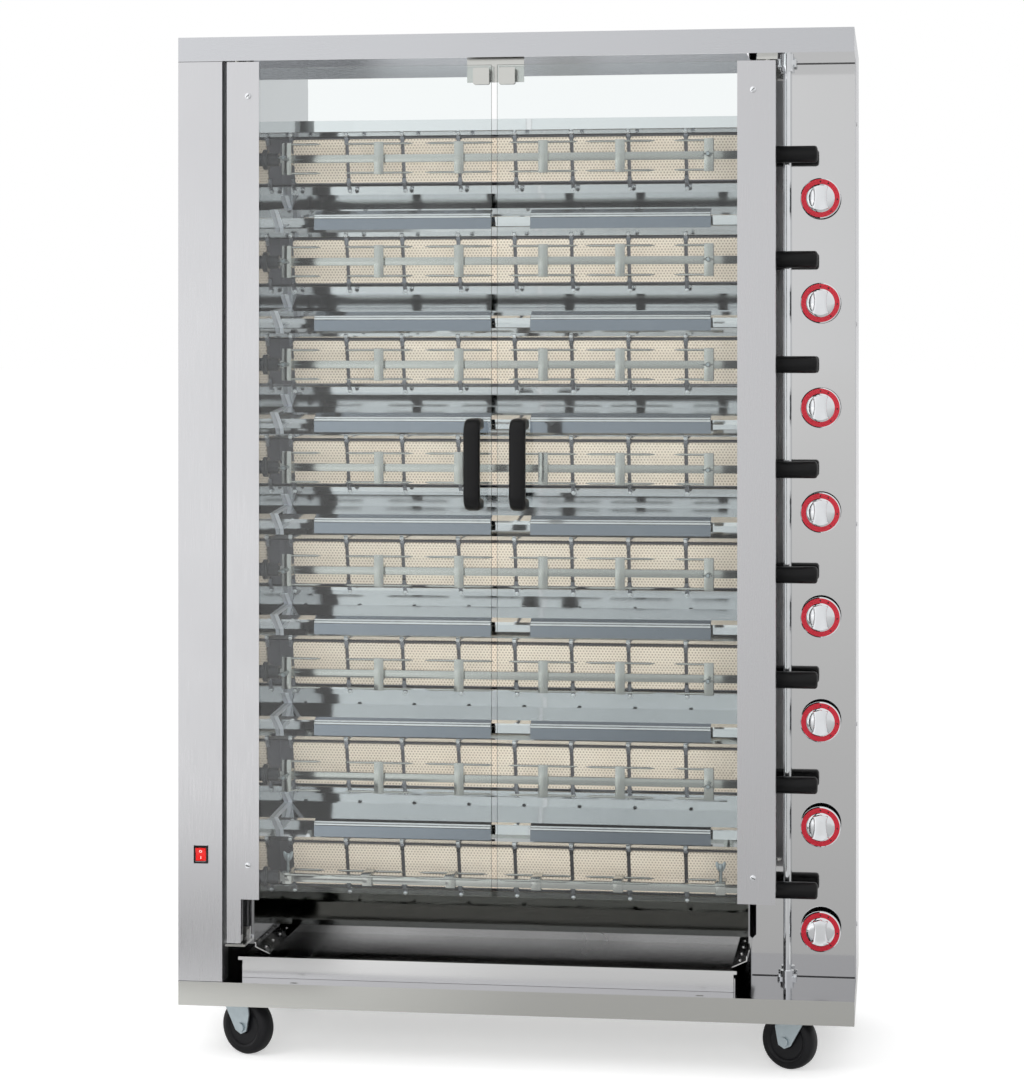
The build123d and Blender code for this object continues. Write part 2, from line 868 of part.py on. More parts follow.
def fork(place, reach_left, reach_right):
    half = fork_width / 2
    sleeve = Box(fork_width, fork_sleeve, fork_sleeve)
    bore = bar_side / 2 + touch_gap
    sleeve -= Box(fork_width, bore * 2, bore * 2)
    plate_y = -fork_sleeve / 2 - fork_plate
    strap = block(-half, half, plate_y, -fork_sleeve / 2, -fork_height / 2, fork_height / 2)
    body = sleeve + strap
    prong_z = fork_height / 2 - prong_inset
    prong_y = -fork_sleeve / 2 + prong_radius / 2
    for z in (-prong_z, prong_z):
        body += rod_x(-reach_left, reach_right, prong_y, z, prong_radius)
        if reach_right > half:
            tip = Pos(reach_right + prong_tip / 2, prong_y, z) * Rot(0, 90, 0)
            body += tip * Cone(prong_radius, prong_point, prong_tip)
        if reach_left > half:
            tip = Pos(-reach_left - prong_tip / 2, prong_y, z) * Rot(0, -90, 0)
            body += tip * Cone(prong_radius, prong_point, prong_tip)
    return Pos(place, 0, 0) * body


def wing_screw(place):
    seat = -bar_side / 2 - wing_gap
    stem = rod_y(-wing_reach + wing_height, seat, 0, 0, wing_radius)
    wing = Box(wing_span, wing_height, wing_thickness)
    wing = fillet(wing.edges().filter_by(Axis.Z), wing_round)
    wing = Pos(0, -wing_reach + wing_height / 2, 0) * wing
    return Pos(place, 0, 0) * (stem + wing)


def spit(row):
    z = spit_heights[row]
    start = cavity_left_x + hub_reach - bar_entry
    grip_x = cavity_right_x + grip_start
    journal_x = cavity_right_x + sheet / 2 - journal_length / 2
    bar_end = grip_x + grip_length / 2
    bar = block(start, bar_end, -bar_side / 2, bar_side / 2, -bar_side / 2, bar_side / 2)
    bar += rod_x(journal_x, journal_x + journal_length, 0, 0, journal_radius)
    grip = Cylinder(grip_radius, grip_length)
    grip = fillet(grip.edges(), grip_round)
    grip = Pos(grip_x + grip_length / 2, 0, 0) * Rot(0, 90, 0) * grip
    half = bar_side / 2
    grip -= block(grip_x, bar_end, -half, half, -half, half)
    shapes = [bar, grip]
    places = low_fork_places if row == spit_count - 1 else fork_places
    last = len(places) - 1
    for n, place in enumerate(places):
        reach_left = fork_width / 2 if n == 0 else prong_length - prong_tip
        reach_right = fork_width / 2 if n == last else prong_length - prong_tip
        shape = fork(cavity_left_x + place, reach_left, reach_right)
        if n in (0, last):
            hole = wing_radius + wing_gap
            shape -= rod_y(-fork_sleeve, 0, cavity_left_x + place, 0, hole)
            shapes.append(wing_screw(cavity_left_x + place))
        shapes.append(shape)
    turn = Pos(0, spit_y, z) * Rot(spit_turn(row), 0, 0)
    return [turn * shape for shape in shapes]


def sprocket():
    points = []
    tooth = [
        (0, sprocket_root),
        (tooth_foot_share, sprocket_root),
        (tooth_rise_share, sprocket_radius),
        (tooth_end_share, sprocket_radius),
    ]
    for n in range(sprocket_teeth):
        for share, radius in tooth:
            angle = 2 * math.pi * (n + share) / sprocket_teeth
            points.append((radius * math.cos(angle), radius * math.sin(angle)))
    return prism_x(points, -sprocket_width / 2, sprocket_width / 2)


def sprocket_places():
    first = cavity_left_x + hub_reach - hub_length + sprocket_end + sprocket_width / 2
    return (first, first + sprocket_spacing)


def drive_hub(row):
    end = cavity_left_x + hub_reach
    body = rod_x(end - hub_length, end, 0, 0, hub_radius)
    collar_x = cavity_left_x + touch_gap
    body += rod_x(collar_x, collar_x + hub_collar, 0, 0, hub_collar_radius)
    for x in sprocket_places():
        body += Pos(x, 0, 0) * sprocket()
    half = bar_side / 2 + touch_gap
    entry = bar_entry + touch_gap
    body -= block(end - entry, end, -half, half, -half, half)
    return Pos(0, spit_y, spit_heights[row]) * body


def drive_unit():
    shapes = []
    places = sprocket_places()
    inner = sprocket_radius + touch_gap
    for row in range(spit_count - 1):
        loops = []
        for radius in (inner + chain_thickness, inner):
            slot = SlotCenterToCenter(spit_pitch, radius * 2)
            loops.append(Rot(0, 0, 90) * slot)
        loop = loops[0] - loops[1]
        x = places[row % 2] - chain_width / 2
        middle = spit_heights[row] - spit_pitch / 2
        ring = extrude(Plane.YZ.offset(x) * Pos(spit_y, middle) * loop, chain_width)
        shapes.append(ring)
    bearing_x = cavity_left_x - sheet - bearing_length
    for z in spit_heights:
        bearing = rod_x(bearing_x, cavity_left_x - sheet, spit_y, z, bearing_radius)
        bearing -= rod_x(bearing_x, cavity_left_x - sheet, spit_y, z, hub_radius + shaft_gap)
        shapes.append(bearing)
    z = spit_heights[-1]
    box_end = cavity_left_x + hub_reach - hub_length - touch_gap
    box = block(
        box_end - gearbox_thickness,
        box_end,
        spit_y - gearbox_half_width,
        spit_y + gearbox_half_width,
        z - gearbox_half_height,
        z + gearbox_half_height,
    )
    box = fillet(box.edges().filter_by(Axis.X), gearbox_round)
    motor_z = z + gearbox_half_height
    motor_x = box_end - gearbox_thickness / 2
    reach = min(motor_radius, motor_x - left_x - sheet - touch_gap)
    box += rod_z(motor_z, motor_z + motor_length, motor_x, spit_y, reach)
    for y in (-post_spread, post_spread):
        for dz in (-post_height, post_height):
            box += rod_x(box_end, cavity_left_x - sheet, spit_y + y, z + dz, post_radius)
    shapes.append(box)
    return shapes


# Doors


def door_sizes(side):
    left = side == "left"
    return {
        "way": 1 if left else -1,
        "edge": left_x + column_face + left_stile_gap if left else right_x - right_stile_edge,
        "width": left_stile_width if left else right_stile_width,
        "foot": base_top_z + (left_tail_rise if left else right_tail_rise),
        "plate_foot": base_top_z + (left_stile_rise if left else right_stile_rise),
        "head": canopy_low_z - (left_stile_drop if left else right_stile_drop),
        "free": pane_middle_x - pane_gap / 2 if left else pane_middle_x + pane_gap / 2,
        "handle": left_handle_inset if left else right_handle_inset,
    }


def span(a, b):
    return (min(a, b), max(a, b))


def pivot_place(size):
    return (size["edge"] + size["way"] * pivot_inset, front_y + sheet + stile_depth / 2)


def glass_zone():
    return (base_top_z + glass_foot_rise, canopy_low_z - glass_head_drop)


def glass_screw_heights():
    return (base_top_z + glass_screw_rise, canopy_low_z - glass_screw_drop)


def handle_heights():
    low = base_top_z + handle_rise
    return (low + handle_foot / 2, low + handle_length - handle_foot / 2)


def clip_place(size):
    middle = size["free"] - size["way"] * clip_inset
    head = glass_zone()[1] - clip_drop
    return (middle, head - clip_plate_height / 2)


def door_stile(size):
    way = size["way"]
    edge = size["edge"]
    y0 = front_y + sheet
    y1 = y0 + stile_depth
    x = span(edge, edge + way * size["width"])
    plate = block(x[0], x[1], y0, y0 + sheet, size["plate_foot"], size["head"])
    x = span(edge, edge + way * tail_width)
    plate += block(x[0], x[1], y0, y0 + sheet, size["foot"], size["head"])
    x = span(edge, edge + way * sheet)
    plate += block(x[0], x[1], y0, y1, size["foot"], size["head"])
    x = span(edge, edge + way * channel_width)
    plate += block(x[0], x[1], y1 - sheet, y1, size["foot"], size["head"])
    pivot_x, pivot_y = pivot_place(size)
    for z0 in (size["foot"], size["head"] - pivot_block):
        plate += block(x[0], x[1], y0, y1, z0, z0 + pivot_block)
        plate -= rod_z(z0, z0 + pivot_block, pivot_x, pivot_y, pivot_radius + shaft_gap)
    screw_x = edge + way * glass_screw_inset
    for z in glass_screw_heights():
        plate -= rod_y(y0, y0 + sheet, screw_x, z, glass_screw_radius + touch_gap)
    return plate


def door_glass(size):
    start = size["edge"] + size["way"] * (channel_width + glass_setback)
    x = span(start, size["free"])
    low, high = glass_zone()
    y0 = front_y + sheet + sheet
    y1 = y0 + glass_thickness
    pane = block(x[0], x[1], y0, y1, low, high)
    screw_x = size["edge"] + size["way"] * glass_screw_inset
    holes = []
    for z in glass_screw_heights():
        holes.append((screw_x, z, glass_screw_radius))
    for z in handle_heights():
        holes.append((size["free"] - size["way"] * size["handle"], z, handle_bolt_radius))
    clip_x, clip_z = clip_place(size)
    holes.append((clip_x, clip_z, clip_pin_radius))
    for x, z, radius in holes:
        pane -= rod_y(y0, y1, x, z, radius + touch_gap)
    return pane


def door_handle(size):
    x = size["free"] - size["way"] * size["handle"]
    low = base_top_z + handle_rise
    back = front_y + sheet + sheet
    front = back - handle_reach
    outer = Rectangle(handle_reach, handle_length)
    outer = fillet(outer.vertices().group_by(Axis.X)[0], handle_outer_round)
    inner_reach = handle_reach - handle_bar
    inner = Rectangle(inner_reach, handle_length - 2 * handle_foot)
    inner = fillet(inner.vertices().group_by(Axis.X)[0], handle_inner_round)
    outline = outer - Pos(handle_bar / 2, 0) * inner
    place = Plane.YZ.offset(x - handle_width / 2) * Pos((front + back) / 2, low + handle_length / 2)
    bow = extrude(place * outline, handle_width)
    edges = [e for e in bow.edges() if e.center().Y < back - touch_gap and not is_level(e)]
    return fillet(edges, handle_edge_round)


def is_level(edge):
    # Edges that run straight across the handle stay as they are
    size = edge.bounding_box().size
    return size.X > size.Y and size.X > size.Z


def door_fittings(size):
    y0 = front_y + sheet
    glass_front = y0 + sheet
    glass_back = glass_front + glass_thickness
    shapes = []
    screw_x = size["edge"] + size["way"] * glass_screw_inset
    for z in glass_screw_heights():
        head = pan_head((screw_x, y0, z), (0, -1, 0), glass_screw_head_radius, glass_screw_head)
        stem = rod_y(y0, glass_back, screw_x, z, glass_screw_radius)
        nut = rod_y(glass_back, glass_back + glass_screw_head, screw_x, z, glass_screw_head_radius)
        shapes.append(head + stem + nut)
    handle_x = size["free"] - size["way"] * size["handle"]
    for z in handle_heights():
        bolt = rod_y(glass_front, glass_back, handle_x, z, handle_bolt_radius)
        bolt += rod_y(glass_back, glass_back + handle_washer, handle_x, z, handle_washer_radius)
        shapes.append(bolt)
    clip_x, clip_z = clip_place(size)
    half_x = clip_plate_width / 2
    half_z = clip_plate_height / 2
    clip = rod_y(glass_front - clip_plate, glass_back, clip_x, clip_z, clip_pin_radius)
    for y in (glass_front - clip_plate, glass_back):
        plate = block(
            clip_x - half_x, clip_x + half_x, y, y + clip_plate, clip_z - half_z, clip_z + half_z
        )
        clip += fillet(plate.edges().filter_by(Axis.Y), clip_plate)
    shapes.append(clip)
    return shapes


def pivot_pin(size, z0, z1):
    x, y = pivot_place(size)
    return rod_z(z0, z1, x, y, pivot_radius)


def door_hardware():
    shapes = []
    y0 = front_y + sheet
    half = pivot_plate_width / 2
    # Left foot: a plate on a leaf against the column's inner fold
    size = door_sizes("left")
    x, y = pivot_place(size)
    top = size["foot"] - pivot_clear
    wall_y = front_y + column_return
    foot = block(x - half, x + half, y0, wall_y, top - pivot_plate, top)
    foot += block(x - half, x + half, wall_y - pivot_plate, wall_y, top - pivot_plate, top + pivot_leaf)
    shapes.append(foot + pivot_pin(size, top, size["foot"] + pivot_block - touch_gap))
    # Left head: a plate on a leaf behind the canopy's fascia
    low = canopy_low_z
    head = block(x - half, x + half, y0, wall_y, low, low + pivot_plate)
    head += block(x - half, x + half, y0, y0 + sheet, low, low + fascia_height / 2)
    shapes.append(head + pivot_pin(size, size["head"] - pivot_block + touch_gap, low))
    # Right foot: an arm from the wall, above the lowest spit's notch and behind the stile's face.
    # Its round end stays inside the circle that the opening stile sweeps.
    size = door_sizes("right")
    x, y = pivot_place(size)
    low = spit_heights[-1] + journal_radius + touch_gap + right_arm_lift
    top = low + pivot_plate
    wall_x = cavity_right_x + sheet
    nose_y = front_y + wall_nose_setback
    arm_y = y0 + sheet + glass_thickness + right_arm_gap
    foot = rod_z(low, top, x, y, right_arm_end)
    foot += block(wall_x, x, arm_y, y + right_arm_end, low, top)
    foot += block(wall_x, wall_x + right_arm_width, arm_y, nose_y + pivot_plate, low, top)
    foot += block(wall_x, wall_x + pivot_plate, nose_y, nose_y + half * 2, low, top + pivot_leaf)
    shapes.append(foot + pivot_pin(size, top, size["foot"] + pivot_block - touch_gap))
    # Right head: a step down from the canopy's floor
    high = canopy_low_z
    low = size["head"] + pivot_clear
    head = block(x - half, x + half, y0 + sheet, y0 + stile_depth, low, low + pivot_plate)
    riser_y = y0 + stile_depth - pivot_plate
    head += block(x - half, x + half, riser_y, y0 + stile_depth, low, high)
    shapes.append(head + pivot_pin(size, size["head"] - pivot_block + touch_gap, low))
    # Catch plate and its two magnets, between the panes
    glass_back = y0 + sheet + glass_thickness
    magnet_y = glass_back + clip_plate + touch_gap
    plate_y = magnet_y + magnet_depth
    plate_low = canopy_low_z - catch_drop - catch_height
    half = catch_width / 2
    plate = block(pane_middle_x - half, pane_middle_x + half, plate_y, plate_y + sheet, plate_low, canopy_sheet_z)
    shapes.append(plate)
    for side in ("left", "right"):
        clip_x, clip_z = clip_place(door_sizes(side))
        shapes.append(
            block(
                clip_x - magnet_width / 2,
                clip_x + magnet_width / 2,
                magnet_y,
                plate_y,
                clip_z - magnet_height / 2,
                clip_z + magnet_height / 2,
            )
        )
    return shapes


# Drip tray


def tray_span():
    return (left_x + tray_left, cavity_right_x - tray_right_gap)


def drip_tray():
    x0, x1 = tray_span()
    y0 = front_y + tray_setback
    y1 = y0 + tray_depth
    z0 = base_top_z + touch_gap
    z1 = z0 + tray_height
    tray = block(x0, x1, y0, y1, z0, z1)
    tray -= block(x0 + sheet, x1 - sheet, y0 + sheet, y1 - sheet, z0 + sheet, z1)
    lip = block(x0 - tray_lip_fall, x1 + tray_lip_fall, y0 - tray_lip, y0, z1 - sheet, z1)
    lip += block(x0 - tray_lip_fall, x1 + tray_lip_fall, y0 - tray_lip, y0 - tray_lip + sheet, z1 - tray_lip_fall, z1)
    return tray + lip


def tray_runners():
    # Side guides on the base, and sloping guards that lead the fat over the tray's edge
    shapes = []
    x0, x1 = tray_span()
    y0 = front_y + tray_setback + tray_lip
    y1 = rear_y - sheet
    for x, way in ((x0 - touch_gap, -1), (x1 + touch_gap, 1)):
        leaf = span(x, x + way * sheet)
        shapes.append(block(leaf[0], leaf[1], y0, y1, base_top_z, base_top_z + runner_height))
    guard_z = base_top_z + guard_rise
    for wall_x, way in ((cavity_left_x, 1), (cavity_right_x, -1)):
        half = thin_sheet / 2
        line = [
            (wall_x + way * half, guard_z),
            (wall_x + way * half, guard_z - guard_leaf),
            (wall_x + way * guard_reach, guard_z - guard_leaf - guard_fall),
        ]
        outline = folded(line, thin_sheet)
        shapes.append(prism_y(outline, y0, y1))
        run = (guard_reach - half, guard_fall)
        size = math.hypot(*run)
        normal = (way * run[1] / size, 0, run[0] / size)
        for n in range(guard_screw_count):
            y = y0 + (n + 0.5) * (y1 - y0) / guard_screw_count
            place = (
                wall_x + way * (half + run[0] / 2) + normal[0] * half,
                y,
                guard_z - guard_leaf - guard_fall / 2 + normal[2] * half,
            )
            shapes.append(pan_head(place, normal, guard_screw_radius, guard_screw_head))
    return shapes


# Casters


def caster_sizes():
    # Name, swivel place and the way the wheel trails, in degrees about Z
    x = right_x - caster_inset
    front = front_y + caster_setback
    rear = rear_y - caster_setback
    return [
        ("front_left", -x, front, -front_caster_turn),
        ("front_right", x, front, 180 - front_caster_turn),
        ("rear_left", -x, rear, rear_caster_turn),
        ("rear_right", x, rear, 180 + rear_caster_turn),
    ]


def caster_plates():
    shapes = []
    for name, x, y, turn in caster_sizes():
        low = caster_height - caster_plate
        plate = block(
            -caster_plate_length / 2,
            caster_plate_length / 2,
            -caster_plate_width / 2,
            caster_plate_width / 2,
            low,
            caster_height,
        )
        plate = fillet(plate.edges().filter_by(Axis.Z), caster_plate_round)
        pin_low = low - race_height - fork_crown
        plate += rod_z(pin_low, low, 0, 0, kingpin_radius)
        for dx in (-1, 1):
            for dy in (-1, 1):
                bolt_x = dx * (caster_plate_length / 2 - caster_bolt_inset)
                bolt_y = dy * (caster_plate_width / 2 - caster_bolt_inset)
                plate += rod_z(low - caster_bolt_head, low, bolt_x, bolt_y, caster_bolt_radius)
        shapes.append(Pos(x, y, 0) * plate)
    return shapes


def caster_fork(x, y, turn):
    # Built trailing towards +X, then turned about the kingpin
    top = caster_height - caster_plate - touch_gap
    race = rod_z(top - race_height, top, 0, 0, race_radius)
    crown_top = top - race_height
    crown_low = crown_top - fork_crown
    inner = wheel_width / 2 + fork_side_gap
    outer = inner + fork_leg
    crown_back = caster_trail + leg_foot / 2
    body = race + block(-leg_head / 2, crown_back, -outer, outer, crown_low, crown_top)
    foot_z = wheel_radius
    leg = [
        (-leg_head / 2, crown_top),
        (crown_back, crown_top),
        (crown_back + leg_step, foot_z + leg_foot),
        (caster_trail + leg_foot / 2, foot_z - leg_step),
        (caster_trail, foot_z - leg_foot / 2),
        (caster_trail - leg_foot / 2, foot_z - leg_step),
    ]
    for y0 in (-outer, inner):
        body += prism_y(leg, y0, y0 + fork_leg)
    body -= rod_z(crown_low, top, 0, 0, kingpin_radius + shaft_gap)
    body += rod_y(-outer, outer, caster_trail, foot_z, axle_radius)
    for y0, y1 in ((-outer - axle_head, -outer), (outer, outer + axle_head)):
        body += rod_y(y0, y1, caster_trail, foot_z, axle_head_radius)
    return Pos(x, y, 0) * Rot(0, 0, turn) * body


def caster_wheel(x, y, turn):
    half = wheel_width / 2
    tyre = Cylinder(wheel_radius, wheel_width) - Cylinder(wheel_core_radius, wheel_width)
    tyre = fillet(tyre.edges().filter_by(GeomType.CIRCLE).sort_by(SortBy.RADIUS)[-2:], tyre_round)
    core = Cylinder(wheel_core_radius, wheel_width) - Cylinder(axle_radius + shaft_gap, wheel_width)
    dish = Cylinder(wheel_core_radius - dish_rim, dish_depth) - Cylinder(wheel_boss_radius, dish_depth)
    for z in (half - dish_depth / 2, dish_depth / 2 - half):
        core -= Pos(0, 0, z) * dish
    place = Pos(x, y, 0) * Rot(0, 0, turn) * Pos(caster_trail, 0, wheel_radius) * Rot(90, 0, 0)
    return [place * tyre, place * core]


write("base_chassis", base_chassis())
write("canopy", canopy())
write("left_column", *left_column(), switch_bezel())
write("inner_walls", *inner_walls())
write("right_column", *right_column())
write("control_panel", control_panel())
write("rear_panel", rear_panel())
write("reflector_panels", *reflector_panels())
housing = burner_housing()
write("burner_housings", *[Pos(0, 0, z) * housing for z in spit_heights])
tiles = burner_tiles()
write("burner_tiles", *[Pos(0, 0, z) * tile for z in spit_heights for tile in tiles])
write("tile_clips", *tile_clips())
write("drip_deflectors", *drip_deflectors())
write("gas_train", *gas_train())
write("guard_rail", *guard_rail())
write("drive_unit", *drive_unit())
write("door_hardware", *door_hardware())
write("drip_tray", drip_tray())
write("tray_runners", *tray_runners())
write("rocker_switch", rocker_switch())
write("caster_plates", *caster_plates())
for row in range(spit_count):
    number = str(row + 1)
    write("drive_hub_" + number, drive_hub(row))
    write("spit_" + number, *spit(row))
    write("knob_" + number, *knob(spit_heights[row]))
for side in ("left", "right"):
    size = door_sizes(side)
    write(side + "_door_stile", door_stile(size))
    write(side + "_door_glass", door_glass(size))
    write(side + "_door_handle", door_handle(size))
    write(side + "_door_fittings", *door_fittings(size))
for name, x, y, turn in caster_sizes():
    write(name + "_caster_fork", caster_fork(x, y, turn))
    write(name + "_caster_wheel", *caster_wheel(x, y, turn))
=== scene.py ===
import bpy
import bmesh
import json
import math
from mathutils import Matrix, Vector


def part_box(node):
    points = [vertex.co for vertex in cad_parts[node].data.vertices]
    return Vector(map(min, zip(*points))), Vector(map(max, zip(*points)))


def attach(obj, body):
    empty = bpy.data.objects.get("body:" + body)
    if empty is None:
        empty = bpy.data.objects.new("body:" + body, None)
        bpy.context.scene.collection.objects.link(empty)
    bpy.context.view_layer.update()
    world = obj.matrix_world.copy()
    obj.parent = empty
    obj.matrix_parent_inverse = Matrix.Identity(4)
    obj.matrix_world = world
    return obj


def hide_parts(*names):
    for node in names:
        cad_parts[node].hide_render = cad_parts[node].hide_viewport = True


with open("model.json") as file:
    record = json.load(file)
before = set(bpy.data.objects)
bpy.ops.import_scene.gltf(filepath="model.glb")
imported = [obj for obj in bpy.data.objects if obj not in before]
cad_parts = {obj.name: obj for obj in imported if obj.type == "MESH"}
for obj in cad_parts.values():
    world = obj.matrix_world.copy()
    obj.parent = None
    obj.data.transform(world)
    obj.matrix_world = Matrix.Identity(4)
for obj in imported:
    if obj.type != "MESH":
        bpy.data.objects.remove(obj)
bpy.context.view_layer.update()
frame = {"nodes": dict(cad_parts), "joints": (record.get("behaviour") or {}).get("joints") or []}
nodes = frame["nodes"]
joints = {joint["name"]: joint for joint in frame["joints"]}

# Metres, in the CAD model's frame: doors face -Y, the floor is Z = 0

print("colours and node helpers")

viewportGrey = (0.6, 0.6, 0.6, 1)
materials = {}


def colour(hexText):
    # sRGB hex to the linear values that shaders take
    values = [int(hexText[i:i + 2], 16) / 255 for i in (1, 3, 5)]
    linear = [v / 12.92 if v <= 0.04045 else ((v + 0.055) / 1.055) ** 2.4 for v in values]
    return (*linear, 1.0)


def addNode(tree, kind, settings=None, **links):
    # One node with its settings; a link is a socket or a plain value, by input name or index
    node = tree.nodes.new(kind)
    for name, value in (settings or {}).items():
        setattr(node, name, value)
    for name, value in links.items():
        key = int(name[1:]) if name[0] == "i" and name[1:].isdigit() else name.replace("_", " ")
        if isinstance(value, bpy.types.NodeSocket):
            tree.links.new(value, node.inputs[key])
        else:
            node.inputs[key].default_value = value
    return node


def newMaterial(name):
    material = bpy.data.materials.new(name)
    material.use_nodes = True
    tree = material.node_tree
    tree.nodes.clear()
    output = tree.nodes.new("ShaderNodeOutputMaterial")
    return material, tree, output


def finishMaterial(material, tree, output, shader):
    tree.links.new(shader.outputs[0], output.inputs["Surface"])
    material.diffuse_color = viewportGrey
    materials[material.name] = material


def maths(tree, operation, a, b=0.0, c=0.0):
    return addNode(tree, "ShaderNodeMath", {"operation": operation}, i0=a, i1=b, i2=c).outputs[0]


def mapRange(tree, value, start, end, low, high):
    return addNode(tree, "ShaderNodeMapRange", Value=value, From_Min=start, From_Max=end,
                   To_Min=low, To_Max=high).outputs[0]


def mixColour(tree, share, first, second):
    return addNode(tree, "ShaderNodeMix", {"data_type": "RGBA"}, i0=share, i6=first, i7=second).outputs[2]


def objectPlace(tree):
    return addNode(tree, "ShaderNodeTexCoord").outputs["Object"]


def parts(tree, vector):
    return addNode(tree, "ShaderNodeSeparateXYZ", Vector=vector).outputs


def noise(tree, scale, detail, stretch=(1, 1, 1)):
    place = addNode(tree, "ShaderNodeMapping", Vector=objectPlace(tree), Scale=stretch).outputs[0]
    return addNode(tree, "ShaderNodeTexNoise", Vector=place, Scale=scale, Detail=detail).outputs[0]


print("materials")

sheetFinishes = {
    # name: colour, darker streak colour, roughness, grain direction, grain depth
    "brushedStainlessUpright": ("#D4D4D6", "#CFCFD1", 0.3, "Z", 0.008),
    "brushedStainlessLevel": ("#CECFD2", "#C8C9CC", 0.24, "X", 0.01),
    "fasciaStainless": ("#D3D3CF", "#CCCCC7", 0.2, "X", 0.01),
    "brightStainless": ("#F0F1F1", "#E9EAEB", 0.05, "X", 0.0),
    "spitStainless": ("#C2C3BE", "#B2B3AE", 0.14, "X", 0.01),
    # painted shade: the deflectors are coloured darker and bluer than the other stainless, to dim what they
    # mirror
    "deflectorStainless": ("#8C939C", "#828992", 0.06, "X", 0.0),
    "rearStainless": ("#E6E7E9", "#E0E1E3", 0.12, "X", 0.0),
    "mirrorStainless": ("#DADADA", "#D5D5D5", 0.055, "Z", 0.0),
    "oilyStainless": ("#CFD0D2", "#C6C7C8", 0.06, "Y", 0.0),
    # painted shade: the burner housing is coloured dark, for the shade in the joints between the tiles
    "paintedShadeHousingSteel": ("#7C7B80", "#646367", 0.34, "X", 0.02),
    # painted reflection: the tray's stainless is coloured dark grey, for the dark reflection seen in it
    "trayStainless": ("#767676", "#6E6E6D", 0.09, "X", 0.0),
}
otherSides = {
    # name: what decides, its axis and sign, the limit under which it holds, colour there, share of roughness
    "brushedStainlessLevel": ("Normal", "Z", 1.0, -0.5, "#F8F9FB", 0.15),  # painted light: the under side is coloured brighter, as if lit, and is made smoother
    "fasciaStainless": ("Normal", "Z", -1.0, -0.5, "#9C9CA0", 0.4),  # the top of the base is bright rolled and smoother, and its colour is painted darker: painted shade
    "rearStainless": ("Normal", "Y", -1.0, -0.5, "#B4B5B8", 2.0),  # the back's outside is ground, not bright
    "trayStainless": ("Normal", "Y", 1.0, -0.5, "#F2F2F2", 2.5),  # the front face is ground and rougher, and keeps a light colour where the rest of the tray is painted dark
    "brightStainless": ("Object", "Z", 1.0, 0.297, "#BDBDBB", 1.5),  # the lowest sheet is dulled by fat
}
grain = {
    "spacing": 0.0007,  # real grinding lines are finer
    "length": 90,  # times the spacing
    "share": 0.55,  # of the lines in the colour; the slow cloudiness makes up the rest
    "cloud": 3.5,
    "contrast": (0.3, 0.7),
    "spread": 0.25,  # of the roughness, either way
    "bump": 0.0002,
}


def rolledSheet(name, base, streak, roughness, along, depth):
    # 430 stainless sheet, ground in one direction: long fine lines that widen the shine across them.
    # Bright annealed sheet has no lines (depth 0), only a slow cloudiness from the rolls
    material, tree, output = newMaterial(name)
    fine = 1 / grain["spacing"]
    long = fine / grain["length"]
    stretch = {"X": (long, fine, fine), "Y": (fine, long, fine), "Z": (fine, fine, long)}[along]
    blend = noise(tree, grain["cloud"], 3.0)
    if depth:
        lines = noise(tree, 1.0, 2.0, stretch)
        clouded = maths(tree, "MULTIPLY", blend, 1 - grain["share"])
        blend = maths(tree, "MULTIPLY_ADD", lines, grain["share"], clouded)
    tone = mixColour(tree, blend, colour(base), colour(streak))
    spread = roughness * grain["spread"]
    shine = mapRange(tree, blend, *grain["contrast"], roughness - spread, roughness + spread)
    if name in otherSides:
        tone, shine = otherSide(tree, tone, shine, *otherSides[name])
    shader = addNode(tree, "ShaderNodeBsdfPrincipled", Base_Color=tone, Metallic=1.0, Roughness=shine)
    if depth:
        bump = addNode(tree, "ShaderNodeBump", Strength=depth, Distance=grain["bump"], Height=lines)
        tree.links.new(bump.outputs[0], shader.inputs["Normal"])
    finishMaterial(material, tree, output, shader)


def otherSide(tree, tone, shine, source, axis, sign, limit, tint, gloss):
    # A second state of the same sheet, where its normal or its place is under a limit; on some sheets this
    # second state is painted light or painted shade
    value = parts(tree, addNode(tree, "ShaderNodeTexCoord").outputs[source])[axis]
    under = maths(tree, "LESS_THAN", maths(tree, "MULTIPLY", value, sign), limit)
    gain = maths(tree, "MULTIPLY_ADD", under, gloss - 1.0, 1.0)
    return mixColour(tree, under, tone, colour(tint)), maths(tree, "MULTIPLY", shine, gain)


for finishName, values in sheetFinishes.items():
    rolledSheet(finishName, *values)

